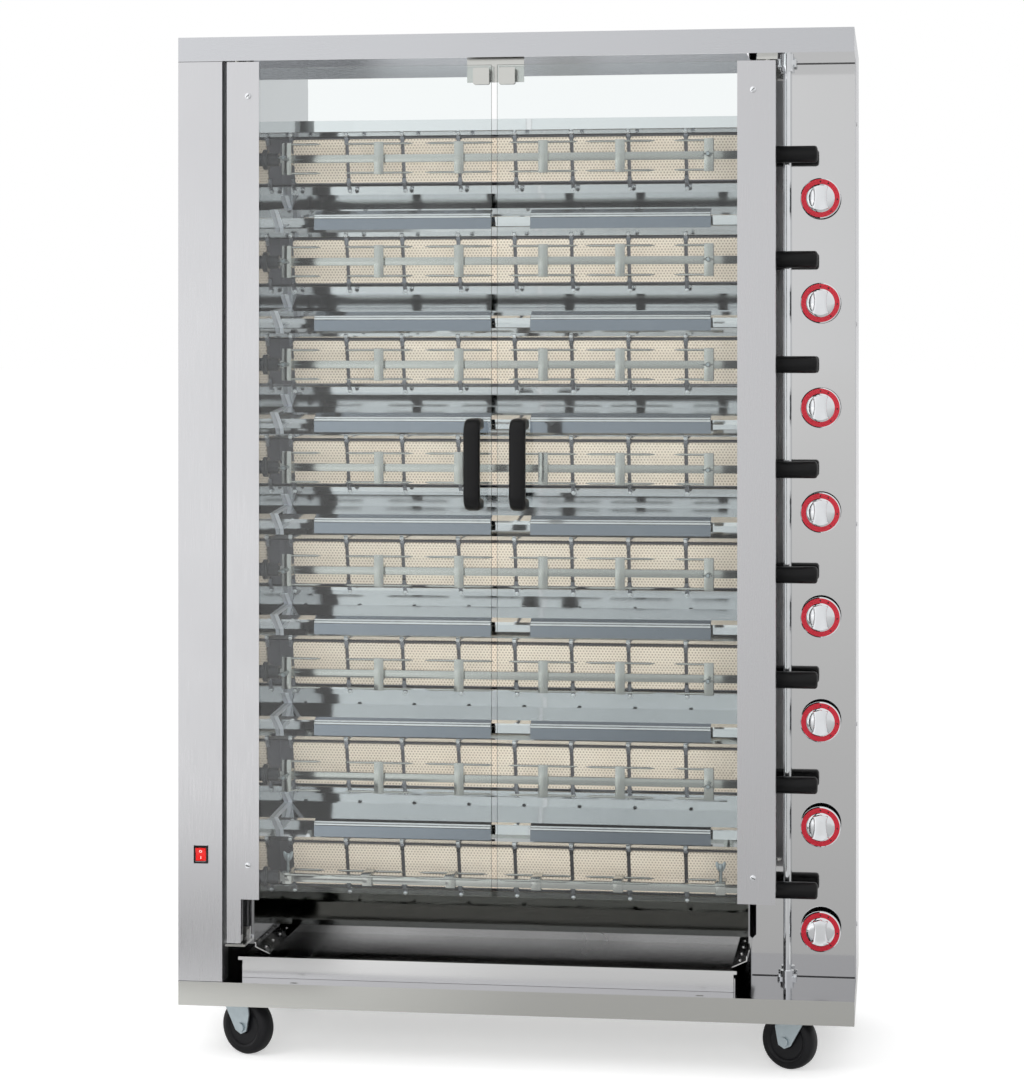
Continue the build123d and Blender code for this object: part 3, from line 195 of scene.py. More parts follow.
solidFinishes = {
    # name: colour, second colour, metallic, roughness, mottle size and bump depth, glint where not 0.5
    "chromePlate": ("#EFF1F3", "#E4E6E8", 1.0, 0.06, 0.02, 0.0),
    "bareZincScrew": ("#F4F6F8", "#E6E9EB", 0.4, 0.32, 0.004, 0.0),
    "zincPlatedSteel": ("#C2CACC", "#A9B2B6", 1.0, 0.3, 0.006, 0.00002),
    "pressedZincSteel": ("#B9C4C8", "#A7B2B7", 0.85, 0.38, 0.012, 0.00003),
    "plainSteel": ("#6E6F71", "#58595B", 1.0, 0.42, 0.01, 0.00004),
    "forgedBrass": ("#B08D4F", "#94743C", 1.0, 0.35, 0.008, 0.00004),
    "springSteel": ("#8E8F94", "#77787D", 1.0, 0.2, 0.006, 0.0),
    "nylonBlack": ("#060607", "#0B0B0C", 0.0, 0.36, 0.0015, 0.00003, 0.25),
    "wheelRubber": ("#060608", "#0C0C0F", 0.0, 0.45, 0.003, 0.00005, 0.3),
    # painted shadow: black for the shade in the seams and in the screw slots
    "paintedShadowBlack": ("#1D1D20", "#151517", 0.0, 0.5, 0.004, 0.0, 0.3),
    "switchRed": ("#D31B17", "#C01411", 0.0, 0.22, 0.01, 0.0),
    "dialRed": ("#A81428", "#9C1022", 0.0, 0.4, 0.004, 0.0, 0.3),
    "dialInk": ("#1A1A1A", "#101010", 0.0, 0.5, 0.004, 0.0),
    "printWhite": ("#F2F2EE", "#E6E6E2", 0.0, 0.4, 0.004, 0.0),
    "glassFibreTape": ("#F4F6FB", "#E6E8EE", 0.0, 0.6, 0.0015, 0.00003),
}
mottle = {"detail": 3.0, "spread": 0.2, "strength": 0.5}


def solidFinish(name, base, second, metallic, roughness, size, depth, glint=0.5):
    # Plated, forged or moulded: even colour with a faint mottle, and a skin whose shine wanders a little
    material, tree, output = newMaterial(name)
    cloud = noise(tree, 1 / size, mottle["detail"])
    tone = mixColour(tree, cloud, colour(base), colour(second))
    spread = roughness * mottle["spread"]
    shine = mapRange(tree, cloud, 0.0, 1.0, roughness - spread, roughness + spread)
    shader = addNode(tree, "ShaderNodeBsdfPrincipled", Base_Color=tone, Metallic=metallic, Roughness=shine,
                     Specular_IOR_Level=glint)
    if depth:
        bump = addNode(tree, "ShaderNodeBump", Strength=mottle["strength"], Distance=depth, Height=cloud)
        tree.links.new(bump.outputs[0], shader.inputs["Normal"])
    finishMaterial(material, tree, output, shader)


for finishName, values in solidFinishes.items():
    solidFinish(finishName, *values)

tileFinish = {
    "clay": "#F2E6D6",
    "warm": "#EBD8C4",
    "hole": "#A08A76",
    "holeSpacing": 0.0058,  # real holes are about 1.5 mm apart, drawn coarser so that they show
    "rowShare": 0.866,  # of the spacing, from one staggered row to the next
    "holeSize": 0.21,  # as shares of the spacing
    "holeEdge": 0.12,
    "holeDepth": 0.0006,
    "holeShade": 0.75,
    "tilt": math.radians(16.4),  # of the tiles, from upright
    "roughness": 0.85,
}


def perforatedCeramic(spec):
    # Cordierite burner plate: chalky cream clay with rows of small flame holes
    material, tree, output = newMaterial("perforatedCeramic")
    place = parts(tree, objectPlace(tree))
    across = maths(tree, "DIVIDE", place["X"], spec["holeSpacing"])
    up = maths(tree, "DIVIDE", place["Z"], spec["holeSpacing"] * spec["rowShare"] * math.cos(spec["tilt"]))
    stagger = maths(tree, "MULTIPLY", maths(tree, "FLOORED_MODULO", maths(tree, "FLOOR", up), 2.0), 0.5)
    aside = maths(tree, "SUBTRACT", maths(tree, "FRACT", maths(tree, "ADD", across, stagger)), 0.5)
    above = maths(tree, "MULTIPLY", maths(tree, "SUBTRACT", maths(tree, "FRACT", up), 0.5), spec["rowShare"])
    squares = maths(tree, "ADD", maths(tree, "MULTIPLY", aside, aside), maths(tree, "MULTIPLY", above, above))
    holeRim = spec["holeSize"] + spec["holeEdge"]
    hole = mapRange(tree, maths(tree, "SQRT", squares), spec["holeSize"], holeRim, 1.0, 0.0)
    clay = mixColour(tree, noise(tree, 9.0, 4.0), colour(spec["clay"]), colour(spec["warm"]))
    # painted shade: the holes are coloured darker, for the shade inside them
    tone = mixColour(tree, maths(tree, "MULTIPLY", hole, spec["holeShade"]), clay, colour(spec["hole"]))
    bump = addNode(tree, "ShaderNodeBump", {"invert": True}, Strength=0.4, Distance=spec["holeDepth"],
                   Height=hole)
    shader = addNode(tree, "ShaderNodeBsdfPrincipled", Base_Color=tone, Roughness=spec["roughness"],
                     Normal=bump.outputs[0])
    finishMaterial(material, tree, output, shader)


perforatedCeramic(tileFinish)

paneFinish = {
    "tint": "#FBFDFD",
    "leastShine": 0.035,  # share that it mirrors head on, without its smears
    "smear": 0.02,
    "edgeShine": 0.9,  # more of it at a grazing angle
    "roughness": 0.01,
    "edge": "#33423C",
    "edgeRoughness": 0.25,
    "edgeLimit": 0.3,  # a face whose normal leans to Y by less than this is a ground edge
}


def temperedGlass(spec):
    # Tempered soda-lime float glass: clear, mirrors more towards grazing angles, green at its ground edges
    material, tree, output = newMaterial("temperedGlass")
    facing = addNode(tree, "ShaderNodeLayerWeight", Blend=0.5).outputs["Facing"]
    rise = maths(tree, "POWER", facing, 5.0)
    least = maths(tree, "MULTIPLY_ADD", noise(tree, 2.2, 2.0), spec["smear"], spec["leastShine"])
    share = maths(tree, "MULTIPLY_ADD", rise, spec["edgeShine"], least)
    through = addNode(tree, "ShaderNodeBsdfTransparent", Color=colour(spec["tint"]))
    shine = addNode(tree, "ShaderNodeBsdfGlossy", Roughness=spec["roughness"])
    clear = addNode(tree, "ShaderNodeMixShader", i0=share, i1=through.outputs[0], i2=shine.outputs[0])
    lean = maths(tree, "ABSOLUTE", parts(tree, addNode(tree, "ShaderNodeTexCoord").outputs["Normal"])["Y"])
    isEdge = maths(tree, "LESS_THAN", lean, spec["edgeLimit"])
    edge = addNode(tree, "ShaderNodeBsdfPrincipled", Base_Color=colour(spec["edge"]),
                   Roughness=spec["edgeRoughness"])
    shader = addNode(tree, "ShaderNodeMixShader", i0=isEdge, i1=clear.outputs[0], i2=edge.outputs[0])
    finishMaterial(material, tree, output, shader)


temperedGlass(paneFinish)

print("finishes on the CAD pieces")

casters = ("front_left", "front_right", "rear_left", "rear_right")
rows = range(1, 9)  # from the top, one spit, hub and knob each
nodeFinishes = {
    "base_chassis": "fasciaStainless",
    "canopy": "brushedStainlessLevel",
    "left_column": "brushedStainlessUpright",
    "inner_walls": "oilyStainless",
    "right_column": "brushedStainlessUpright",
    "control_panel": "mirrorStainless",
    "rear_panel": "rearStainless",
    "reflector_panels": "brightStainless",
    "burner_housings": "paintedShadeHousingSteel",
    "burner_tiles": "perforatedCeramic",
    "tile_clips": "springSteel",
    "drip_deflectors": "deflectorStainless",
    "gas_train": "forgedBrass",
    "guard_rail": "chromePlate",
    "drive_unit": "plainSteel",
    "door_hardware": "fasciaStainless",
    "tray_runners": "trayStainless",
    "caster_plates": "zincPlatedSteel",
    "drip_tray": "trayStainless",
    "rocker_switch": "switchRed",
}
for side in ("left", "right"):
    nodeFinishes[side + "_door_stile"] = "brushedStainlessUpright"
    nodeFinishes[side + "_door_glass"] = "temperedGlass"
    nodeFinishes[side + "_door_handle"] = "nylonBlack"
    nodeFinishes[side + "_door_fittings"] = "fasciaStainless"
for corner in casters:
    nodeFinishes[corner + "_caster_fork"] = "pressedZincSteel"
    nodeFinishes[corner + "_caster_wheel"] = "wheelRubber"
for row in rows:
    nodeFinishes["drive_hub_" + str(row)] = "plainSteel"
    nodeFinishes["spit_" + str(row)] = "spitStainless"
    nodeFinishes["knob_" + str(row)] = "chromePlate"

for nodeName, finishName in nodeFinishes.items():
    nodes[nodeName].data.materials.clear()
    nodes[nodeName].data.materials.append(materials[finishName])

print("piece helpers")

weld = 1e-6  # corners closer than this are one


def vertsIn(geometry):
    return [item for item in geometry if isinstance(item, bmesh.types.BMVert)]


def facesIn(geometry):
    return [item for item in geometry if isinstance(item, bmesh.types.BMFace)]


def roundEdges(shape, edges, radius, segments=2):
    bmesh.ops.bevel(shape, geom=edges, offset=radius, segments=segments, profile=0.5, affect="EDGES",
                    material=-1)


def paint(faces, slot):
    for face in faces:
        face.material_index = slot


def lathe(shape, points, steps=48):
    # Points are (radius, height) along +Y; both ends close on the axis where the radius is zero
    corners = [shape.verts.new((radius, height, 0)) for radius, height in points]
    edges = [shape.edges.new(pair) for pair in zip(corners, corners[1:])]
    bmesh.ops.spin(shape, geom=corners + edges, cent=(0, 0, 0), axis=(0, 1, 0), angle=math.tau, steps=steps,
                   use_merge=True)
    bmesh.ops.remove_doubles(shape, verts=shape.verts, dist=weld)
    bmesh.ops.recalc_face_normals(shape, faces=shape.faces)


def addShape(shape, other, slot=None):
    # Joins a second bmesh into the first
    if slot is not None:
        paint(other.faces, slot)
    mesh = bpy.data.meshes.new("part")
    other.to_mesh(mesh)
    other.free()
    shape.from_mesh(mesh)
    bpy.data.meshes.remove(mesh)


def slab(shape, size, place, radius, segments=2):
    # A box with every edge rounded
    part = bmesh.new()
    bmesh.ops.create_cube(part, size=1, matrix=Matrix.Diagonal((*size, 1)))
    roundEdges(part, part.edges[:], radius, segments)
    bmesh.ops.translate(part, vec=place, verts=part.verts)
    addShape(shape, part)


def turnTo(axis):
    # The turn that takes a lathed shape's +Y to an axis
    return Vector((0, 1, 0)).rotation_difference(Vector(axis)).to_matrix().to_4x4()


def rodAlong(shape, points, place, axis, steps, slot=None):
    # A turned rod; points are (radius, distance) along the axis
    part = bmesh.new()
    lathe(part, points, steps)
    bmesh.ops.transform(part, matrix=Matrix.Translation(place) @ turnTo(axis), verts=part.verts)
    addShape(shape, part, slot)


def makePiece(name, shape, finishes, body, stands=(), place=Matrix(), sharpAngle=35):
    bmesh.ops.transform(shape, matrix=place, verts=shape.verts)
    mesh = bpy.data.meshes.new(name)
    shape.to_mesh(mesh)
    shape.free()
    mesh.polygons.foreach_set("use_smooth", [True] * len(mesh.polygons))
    mesh.set_sharp_from_angle(angle=math.radians(sharpAngle))
    piece = bpy.data.objects.new(name, mesh)
    bpy.context.collection.objects.link(piece)
    for finish in finishes:
        mesh.materials.append(materials[finish])
    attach(piece, body)
    if stands:
        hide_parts(*stands)


def middle(node):
    low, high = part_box(node)
    return Vector([(a + b) / 2 for a, b in zip(low, high)])


def hubAxis(row):
    return Vector(joints["hub_spin_" + str(row)]["pos_m"])


print("spits")

spitShape = {
    "bar": 0.014,
    "barEdge": 0.0009,
    "start": -0.008,  # from the left wall of the roasting bay
    "journal": (0.864, 0.876, 0.010),  # from, to, radius, where the bar rests in its notch
    "grip": (0.877, 0.111, 0.015),  # from, length, radius
    "edge": 0.0008,
    "forks": (0.040, 0.208, 0.353, 0.504, 0.641, 0.798),
    "lowForks": (0.040, 0.186, 0.337, 0.491, 0.637, 0.818),
    "sleeve": (0.0175, 0.021, 0.0146),  # width, outside, hole
    "strap": (0.0175, 0.003, 0.058),
    "strapEdge": 0.001,
    "prong": (0.002, 0.052, 0.010),  # radius, straight reach, point
    "prongTip": 0.0004,
    "prongInset": 0.003,  # from the strap's end
    "screw": (0.048, 0.018, 0.020, 0.0035),  # reach, span, height, thickness
    "stem": (0.003, 0.0045, -0.0071),  # radius, radius of the boss, foot on the bar
}


def squareSleeve(shape, x, spec):
    width, outside, hole = spec["sleeve"]
    part = bmesh.new()
    for across in (outside, hole):
        bmesh.ops.create_circle(part, segments=4, radius=across / math.sqrt(2),
                                matrix=Matrix.Rotation(math.pi / 4, 4, "Z"))
    bmesh.ops.bridge_loops(part, edges=part.edges[:])
    moved = bmesh.ops.extrude_face_region(part, geom=part.faces[:])["geom"]
    bmesh.ops.translate(part, vec=(0, 0, width), verts=vertsIn(moved))
    bmesh.ops.recalc_face_normals(part, faces=part.faces)
    outer = [edge for edge in part.edges if edge.calc_length() > hole * 1.02 and edge.calc_face_angle(0) > 1]
    roundEdges(part, outer, spec["edge"])
    place = Matrix.Translation((x - width / 2, 0, 0)) @ Matrix.Rotation(math.pi / 2, 4, "Y")
    bmesh.ops.transform(part, matrix=place, verts=part.verts)
    addShape(shape, part)


def wingScrew(shape, x, spec):
    # A cast wing screw: threaded stem, round boss, two lobes
    reach, span, height, thick = spec["screw"]
    stem, boss, seat = spec["stem"]
    profile = [(0, 0), (stem, 0), (stem, reach - height * 0.8 + seat), (boss, reach - height * 0.7 + seat),
               (boss, reach - height * 0.35 + seat), (stem, reach - height * 0.25 + seat),
               (0, reach - height * 0.25 + seat)]
    rodAlong(shape, profile, (x, seat, 0), (0, -1, 0), 16, 2)
    for side in (-1, 1):
        lobe = bmesh.new()
        bmesh.ops.create_uvsphere(lobe, u_segments=16, v_segments=10, radius=1)
        bmesh.ops.scale(lobe, vec=(span * 0.21, height * 0.5, thick / 2), verts=lobe.verts)
        bmesh.ops.rotate(lobe, cent=(0, 0, 0), matrix=Matrix.Rotation(side * 0.35, 3, "Z"), verts=lobe.verts)
        bmesh.ops.translate(lobe, vec=(x + side * span * 0.24, -reach + height * 0.52, 0), verts=lobe.verts)
        addShape(shape, lobe, 2)


def spitProng(spec, isFirst, isLast):
    # Pointed both ways, but cut off at the sleeve on the outer side of the end forks
    radius, straight, point = spec["prong"]
    tip = spec["prongTip"]
    half = spec["sleeve"][0] / 2
    profile = [(0, -half), (radius, -half)]
    if not isFirst:
        profile = [(0, -straight - point), (tip, -straight - point), (radius, -straight)]
    if isLast:
        return profile + [(radius, half), (0, half)]
    return profile + [(radius, straight), (tip, straight + point), (0, straight + point)]


def spitFork(shape, x, spec, isFirst, isLast):
    wide, thick, tall = spec["strap"]
    radius = spec["prong"][0]
    out = -spec["sleeve"][1] / 2
    squareSleeve(shape, x, spec)
    slab(shape, (wide, thick, tall), (x, out - thick / 2, 0), spec["strapEdge"])
    for z in (-tall / 2 + spec["prongInset"], tall / 2 - spec["prongInset"]):
        rodAlong(shape, spitProng(spec, isFirst, isLast), (x, out + radius / 2, z), (1, 0, 0), 12)
    if isFirst or isLast:
        wingScrew(shape, x, spec)


def roastingSpit(spec, places):
    shape = bmesh.new()
    edge = spec["edge"]
    barEnd = spec["grip"][0] + 0.01
    slab(shape, (barEnd - spec["start"], spec["bar"], spec["bar"]), ((barEnd + spec["start"]) / 2, 0, 0),
         spec["barEdge"])
    start, end, radius = spec["journal"]
    length = end - start
    profile = [(0, 0), (radius - edge, 0), (radius, edge), (radius, length - edge), (radius - edge, length),
               (0, length)]
    rodAlong(shape, profile, (start, 0, 0), (1, 0, 0), 32)
    start, length, radius = spec["grip"]
    foot = [(0, 0), (radius - 0.003, 0), (radius - edge, edge), (radius, 0.003)]
    groove = [(radius, 0.012), (radius - 0.0006, 0.014), (radius - 0.0006, 0.017), (radius, 0.019)]
    nose = [(radius, length - 0.005), (radius - 0.0012, length - 0.0022), (radius - 0.0045, length - 0.0004),
            (0, length)]
    rodAlong(shape, foot + groove + nose, (start, 0, 0), (1, 0, 0), 40, 1)
    for index, x in enumerate(places):
        spitFork(shape, x, spec, index == 0, index == len(places) - 1)
    return shape


for row in rows:
    node = "spit_" + str(row)
    isLow = row == rows[-1]  # the lowest spit stands a quarter turn on
    shape = roastingSpit(spitShape, spitShape["lowForks" if isLow else "forks"])
    place = Matrix.Translation(hubAxis(row))
    if isLow:
        place = place @ Matrix.Rotation(-math.pi / 2, 4, "X")
    makePiece("roastingSpit" + str(row), shape, ["spitStainless", "nylonBlack", "zincPlatedSteel"], node,
              [node], place, 40)

print("knobs")

knobShape = {
    "ringOuter": 0.0338,
    "ringInner": 0.0252,
    "face": 0.028,  # from the control panel to the front of the dial
    "reach": 0.043,  # from the control panel to the front of the whole knob
    "rim": 0.008,
    "rimRadius": 0.0355,
    "boss": 0.022,
    "gripWaist": 0.0235,
    "gripFoot": 0.0345,
    "gripNeck": 1.15,  # where the waist is, from 0 at the foot to 2 at the top
    "gripFlare": 1.32,
    "gripRound": 0.0242,  # radius that both ends keep to
    "gripReach": 0.0145,
    "gripLean": 0.25,  # share of the reach that the top gives up
    "gripFront": (0.88, 0.96),  # width and length of the front, as shares of the foot's
    "gripEdge": 0.0018,
    "marks": (90, 62, -4, -52),  # degrees round the ring
    "mark": (0.0015, 0.0013, 0.0003),  # radius at the ring, radius in front, thickness
}


def knobDial(spec):
    # Everything is measured from the panel's face, out towards -Y
    dial = bmesh.new()
    front = -spec["face"]
    back = front + spec["rim"]
    inner, outer, rim = spec["ringInner"], spec["ringOuter"], spec["rimRadius"]
    lathe(dial, [
        (0, -0.002), (spec["boss"], -0.002), (spec["boss"], back), (rim - 0.001, back), (rim, back - 0.001),
        (rim, front + 0.0015), (outer, front), (inner, front), (inner - 0.0006, front - 0.0008),
        (inner * 0.75, front - 0.0024), (inner * 0.4, front - 0.0034), (0, front - 0.0038),
    ])
    for face in dial.faces:
        centre = face.calc_center_median()
        if centre.y > back - 0.0006:
            face.material_index = 2
        elif inner < math.hypot(centre.x, centre.z) < outer and centre.y < front + 0.0005:
            face.material_index = 1
    return dial


def knobGrip(spec):
    # A bar with hollow flanks whose ends follow the round cap; its front leans back towards the top
    grip = bmesh.new()
    bmesh.ops.create_cube(grip, size=1)
    for axis, cuts in ((2, 7), (0, 5)):
        across = [e for e in grip.edges if abs(e.verts[0].co[axis] - e.verts[1].co[axis]) > 0.5]
        bmesh.ops.subdivide_edges(grip, edges=across, cuts=cuts, use_grid_fill=True)
    for corner in grip.verts:
        up = corner.co.z + 0.5
        isFront = corner.co.y < 0
        frontWidth, frontLength = spec["gripFront"] if isFront else (1.0, 1.0)
        flare = (2 * up - spec["gripNeck"]) ** 2 * (spec["gripFoot"] - spec["gripWaist"]) / spec["gripFlare"]
        x = corner.co.x * (spec["gripWaist"] + flare) * frontWidth
        end = math.sqrt(spec["gripRound"] ** 2 - x * x) * frontLength
        out = -spec["gripReach"] * (1 - spec["gripLean"] * up) if isFront else 0.004
        corner.co = Vector((x, -spec["face"] + out, (2 * up - 1) * end))
    roundEdges(grip, [e for e in grip.edges if e.calc_face_angle(0) > 0.6], spec["gripEdge"], 3)
    return grip


def knobMarks(spec):
    marks = bmesh.new()
    radius = (spec["ringOuter"] + spec["ringInner"]) / 2
    foot, top, thick = spec["mark"]
    for angle in spec["marks"]:
        turn = math.radians(angle)
        place = Matrix.Translation((radius * math.cos(turn), -spec["face"] - 0.0001, radius * math.sin(turn)))
        bmesh.ops.create_cone(marks, cap_ends=True, segments=12, radius1=foot, radius2=top, depth=thick,
                              matrix=place @ Matrix.Rotation(math.pi / 2, 4, "X"))
    return marks


for row in rows:
    node = "knob_" + str(row)
    low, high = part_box(node)
    centre = middle(node)
    shape = knobDial(knobShape)
    addShape(shape, knobGrip(knobShape))
    addShape(shape, knobMarks(knobShape), 3)
    place = Matrix.Translation((centre.x, low[1] + knobShape["reach"], centre.z))
    makePiece("controlKnob" + str(row), shape, ["chromePlate", "dialRed", "nylonBlack", "dialInk"], node,
              [node], place, 40)

print("clip screws")

clipScrewShape = {
    # back and up from the spit's axis, and the way it faces, for the upper and the lower clip
    "seats": (((0.09899, 0.05195), (-0.587, -0.810)), ((0.13965, -0.04919), (-0.656, -0.755))),
    "radius": 0.0039,
    "height": 0.0034,
    "first": 0.022,
    "pitch": 0.10375,
    "count": 9,
}


def panHead(spec):
    # A round head with a drilled recess, built out along +Y
    head = bmesh.new()
    r, h = spec["radius"], spec["height"]
    lathe(head, [(0, -0.0002), (r, -0.0002), (r, h * 0.3), (r * 0.86, h * 0.75), (r * 0.5, h), (r * 0.32, h),
                 (r * 0.2, h * 0.6), (0, h * 0.6)], 12)
    return head


clipScrews = bmesh.new()
for row in rows:
    for (back, up), (outY, outZ) in clipScrewShape["seats"]:
        for index in range(clipScrewShape["count"]):
            along = clipScrewShape["first"] + index * clipScrewShape["pitch"]
            place = Matrix.Translation(hubAxis(row) + Vector((along, back, up)))
            head = panHead(clipScrewShape)
            bmesh.ops.transform(head, matrix=place @ turnTo((0, outY, outZ)), verts=head.verts)
            addShape(clipScrews, head)
makePiece("clipScrews", clipScrews, ["bareZincScrew"], "cabinet")

print("rolled beads on the deflectors")

beadShape = {"radius": 0.0023, "solidRadius": 0.002, "length": 0.326, "starts": (-0.393, 0.005)}
deflectorLow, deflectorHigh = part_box("drip_deflectors")
# The box ends at the top of the first row's bead
beadDrop = deflectorHigh[2] - beadShape["solidRadius"] - hubAxis(1).z
beads = bmesh.new()
for row in rows[:-1]:
    r, length = beadShape["radius"], beadShape["length"]
    for x in beadShape["starts"]:
        place = (x, (deflectorLow[1] + deflectorHigh[1]) / 2, hubAxis(row).z + beadDrop)
        profile = [(0, 0), (r * 0.7, 0), (r, r * 0.3), (r, length - r * 0.3), (r * 0.7, length), (0, length)]
        rodAlong(beads, profile, place, (1, 0, 0), 16)
makePiece("deflectorBeads", beads, ["brightStainless"], "cabinet")

print("glass screws, switch frame and seams")

glassScrewShape = {
    "across": {"left": -0.465, "right": 0.418},
    "heights": (0.343, 1.691),
    "front": -0.236,
    "radius": 0.0056,
    "height": 0.0036,
    "slot": (0.0075, 0.0006, 0.0012),
    "turns": (25, -40),  # degrees that the slots lie turned
}


def glassScrew(shape, spec, place, turn):
    r, h = spec["radius"], spec["height"]
    rodAlong(shape, [(0, 0), (r, 0), (r, h * 0.35), (r * 0.9, h * 0.7), (r * 0.6, h * 0.95), (0, h)],
             place, (0, -1, 0), 24, 0)
    # painted shade: the slot is a black block on the head, for the shade in the recess
    slot = bmesh.new()
    lying = Matrix.Rotation(math.radians(turn), 4, "Y") @ Matrix.Diagonal((*spec["slot"], 1))
    bmesh.ops.create_cube(slot, size=1, matrix=Matrix.Translation(place - Vector((0, h, 0))) @ lying)
    addShape(shape, slot, 1)


for side, x in glassScrewShape["across"].items():
    screws = bmesh.new()
    for z, turn in zip(glassScrewShape["heights"], glassScrewShape["turns"]):
        glassScrew(screws, glassScrewShape, Vector((x, glassScrewShape["front"], z)), turn)
    makePiece(side + "GlassScrews", screws, ["chromePlate", "paintedShadowBlack"], side + "_door")

frameShape = {"outer": (0.0254, 0.0314), "inner": (0.0199, 0.0256), "proud": 0.0026, "edge": 0.0007}


def switchFrame(spec):
    # The moulded frame that snaps round the rocker, built out towards -Y
    ring = bmesh.new()
    for width, height in (spec["outer"], spec["inner"]):
        size = Matrix.Diagonal((width / math.sqrt(2), height / math.sqrt(2), 1, 1))
        bmesh.ops.create_circle(ring, segments=4, radius=1, matrix=Matrix.Rotation(math.pi / 2, 4, "X") @ size
                                @ Matrix.Rotation(math.pi / 4, 4, "Z"))
    bmesh.ops.bridge_loops(ring, edges=ring.edges[:])
    moved = bmesh.ops.extrude_face_region(ring, geom=ring.faces[:])["geom"]
    bmesh.ops.translate(ring, vec=(0, -spec["proud"], 0), verts=vertsIn(moved))
    bmesh.ops.recalc_face_normals(ring, faces=ring.faces)
    roundEdges(ring, [e for e in ring.edges if e.calc_face_angle(0) > 1], spec["edge"])
    return ring


panelLow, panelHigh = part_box("control_panel")
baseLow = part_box("base_chassis")[0]
switchMiddle = middle("rocker_switch")
makePiece("switchFrame", switchFrame(frameShape), ["nylonBlack"], "cabinet", (),
          Matrix.Translation((switchMiddle.x, baseLow[1], switchMiddle.z)))

# Painted shadow: thin black strips where the sheets meet, for the shade in the gaps
seamShape = {
    "panel": (0.001, 0.0013),  # depth and height, above and below the control panel
    "column": (0.0005, 0.00078),
    "inset": 0.0008,  # from the panel's ends
    "columnEdge": -0.511,  # right edge of the left column's front
    "round": 0.0001,
}


def seam(shape, left, right, y, z, section):
    slab(shape, (right - left, *section), ((left + right) / 2, y, z), seamShape["round"], 1)


seams = bmesh.new()
for z in (panelLow[2] + seamShape["inset"], panelHigh[2] - seamShape["inset"]):
    seam(seams, panelLow[0], panelHigh[0], panelLow[1], z, seamShape["panel"])
    seam(seams, baseLow[0], seamShape["columnEdge"], baseLow[1], z, seamShape["column"])
makePiece("seamShadowStrips", seams, ["paintedShadowBlack"], "cabinet")

print("seals beside the reflectors")

sealShape = {
    "width": 0.007,
    "thick": 0.0016,
    "gap": 0.0004,  # from the wall
    "profile": ((0.149, -0.055), (0.185, -0.079), (0.064, -0.088), (0.109, -0.117)),  # back, up from the axis
}


def sealStrip(spec):
    # A narrow strip of pale glass-fibre tape that follows the folds of a reflector sheet
    strip = bmesh.new()
    corners = [strip.verts.new((0, y, z)) for y, z in spec["profile"]]
    edges = [strip.edges.new(pair) for pair in zip(corners, corners[1:])]
    moved = bmesh.ops.extrude_edge_only(strip, edges=edges)["geom"]
    bmesh.ops.translate(strip, vec=(spec["width"], 0, 0), verts=vertsIn(moved))
    bmesh.ops.solidify(strip, geom=strip.faces[:], thickness=spec["thick"])
    bmesh.ops.recalc_face_normals(strip, faces=strip.faces)
    return strip


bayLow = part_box("reflector_panels")[0]
seals = bmesh.new()
for row in rows[:-1]:
    strip = sealStrip(sealShape)
    axis = hubAxis(row)
    bmesh.ops.translate(strip, vec=(bayLow[0] + sealShape["gap"], axis.y, axis.z), verts=strip.verts)
    addShape(seals, strip)
makePiece("reflectorSeals", seals, ["glassFibreTape"], "cabinet")

print("door handles")

handleShape = {"width": 0.028, "thick": 0.021, "corner": 0.017, "reach": 0.058, "edge": 0.00651}


def handleEnd(spec, length):
    # The bar's rounded section, facing -Y at the top of the bow
    bow = bmesh.new()
    half = spec["thick"] / 2
    bmesh.ops.create_circle(bow, cap_ends=True, segments=4, radius=half * math.sqrt(2),
                            matrix=Matrix.Rotation(math.pi / 4, 4, "Z"))
    bmesh.ops.bevel(bow, geom=bow.verts[:], offset=spec["edge"], segments=5, profile=0.5, affect="VERTICES",
                    material=-1)
    bmesh.ops.scale(bow, vec=(spec["width"] / spec["thick"], 1, 1), verts=bow.verts)
    bmesh.ops.rotate(bow, cent=(0, 0, 0), matrix=Matrix.Rotation(math.pi / 2, 3, "X"), verts=bow.verts)
    bmesh.ops.translate(bow, vec=(0, 0, length / 2 - half), verts=bow.verts)
    return bow


def runOn(bow, end, way):
    # Draws the end faces on by a straight run
    moved = bmesh.ops.extrude_face_region(bow, geom=end)["geom"]
    bmesh.ops.translate(bow, vec=way, verts=vertsIn(moved))
    return facesIn(moved)


def turnOn(bow, end, toCentre):
    # Turns the end faces a quarter round, about X
    corners = {corner for face in end for corner in face.verts}
    centre = sum((corner.co for corner in corners), Vector()) / len(corners)
    turned = bmesh.ops.spin(bow, geom=end, cent=centre + Vector(toCentre), axis=(1, 0, 0), angle=math.pi / 2,
                            steps=6, use_duplicate=False)["geom_last"]
    return facesIn(turned)


def bowHandle(spec, length):
    # A rounded bar that leaves the glass, turns down, and turns back; built towards -Y from y = 0
    bow = handleEnd(spec, length)
    half, corner = spec["thick"] / 2, spec["corner"]
    run = spec["reach"] - half - corner
    end = runOn(bow, bow.faces[:], (0, -run, 0))
    end = turnOn(bow, end, (0, 0, -corner))
    end = runOn(bow, end, (0, 0, -(length - 2 * half - 2 * corner)))
    end = turnOn(bow, end, (0, corner, 0))
    runOn(bow, end, (0, run, 0))
    bmesh.ops.remove_doubles(bow, verts=bow.verts, dist=weld)
    inside = [face for face in bow.faces if all(len(edge.link_faces) > 2 for edge in face.edges)]
    bmesh.ops.delete(bow, geom=inside, context="FACES_ONLY")
    bmesh.ops.recalc_face_normals(bow, faces=bow.faces)
    return bow


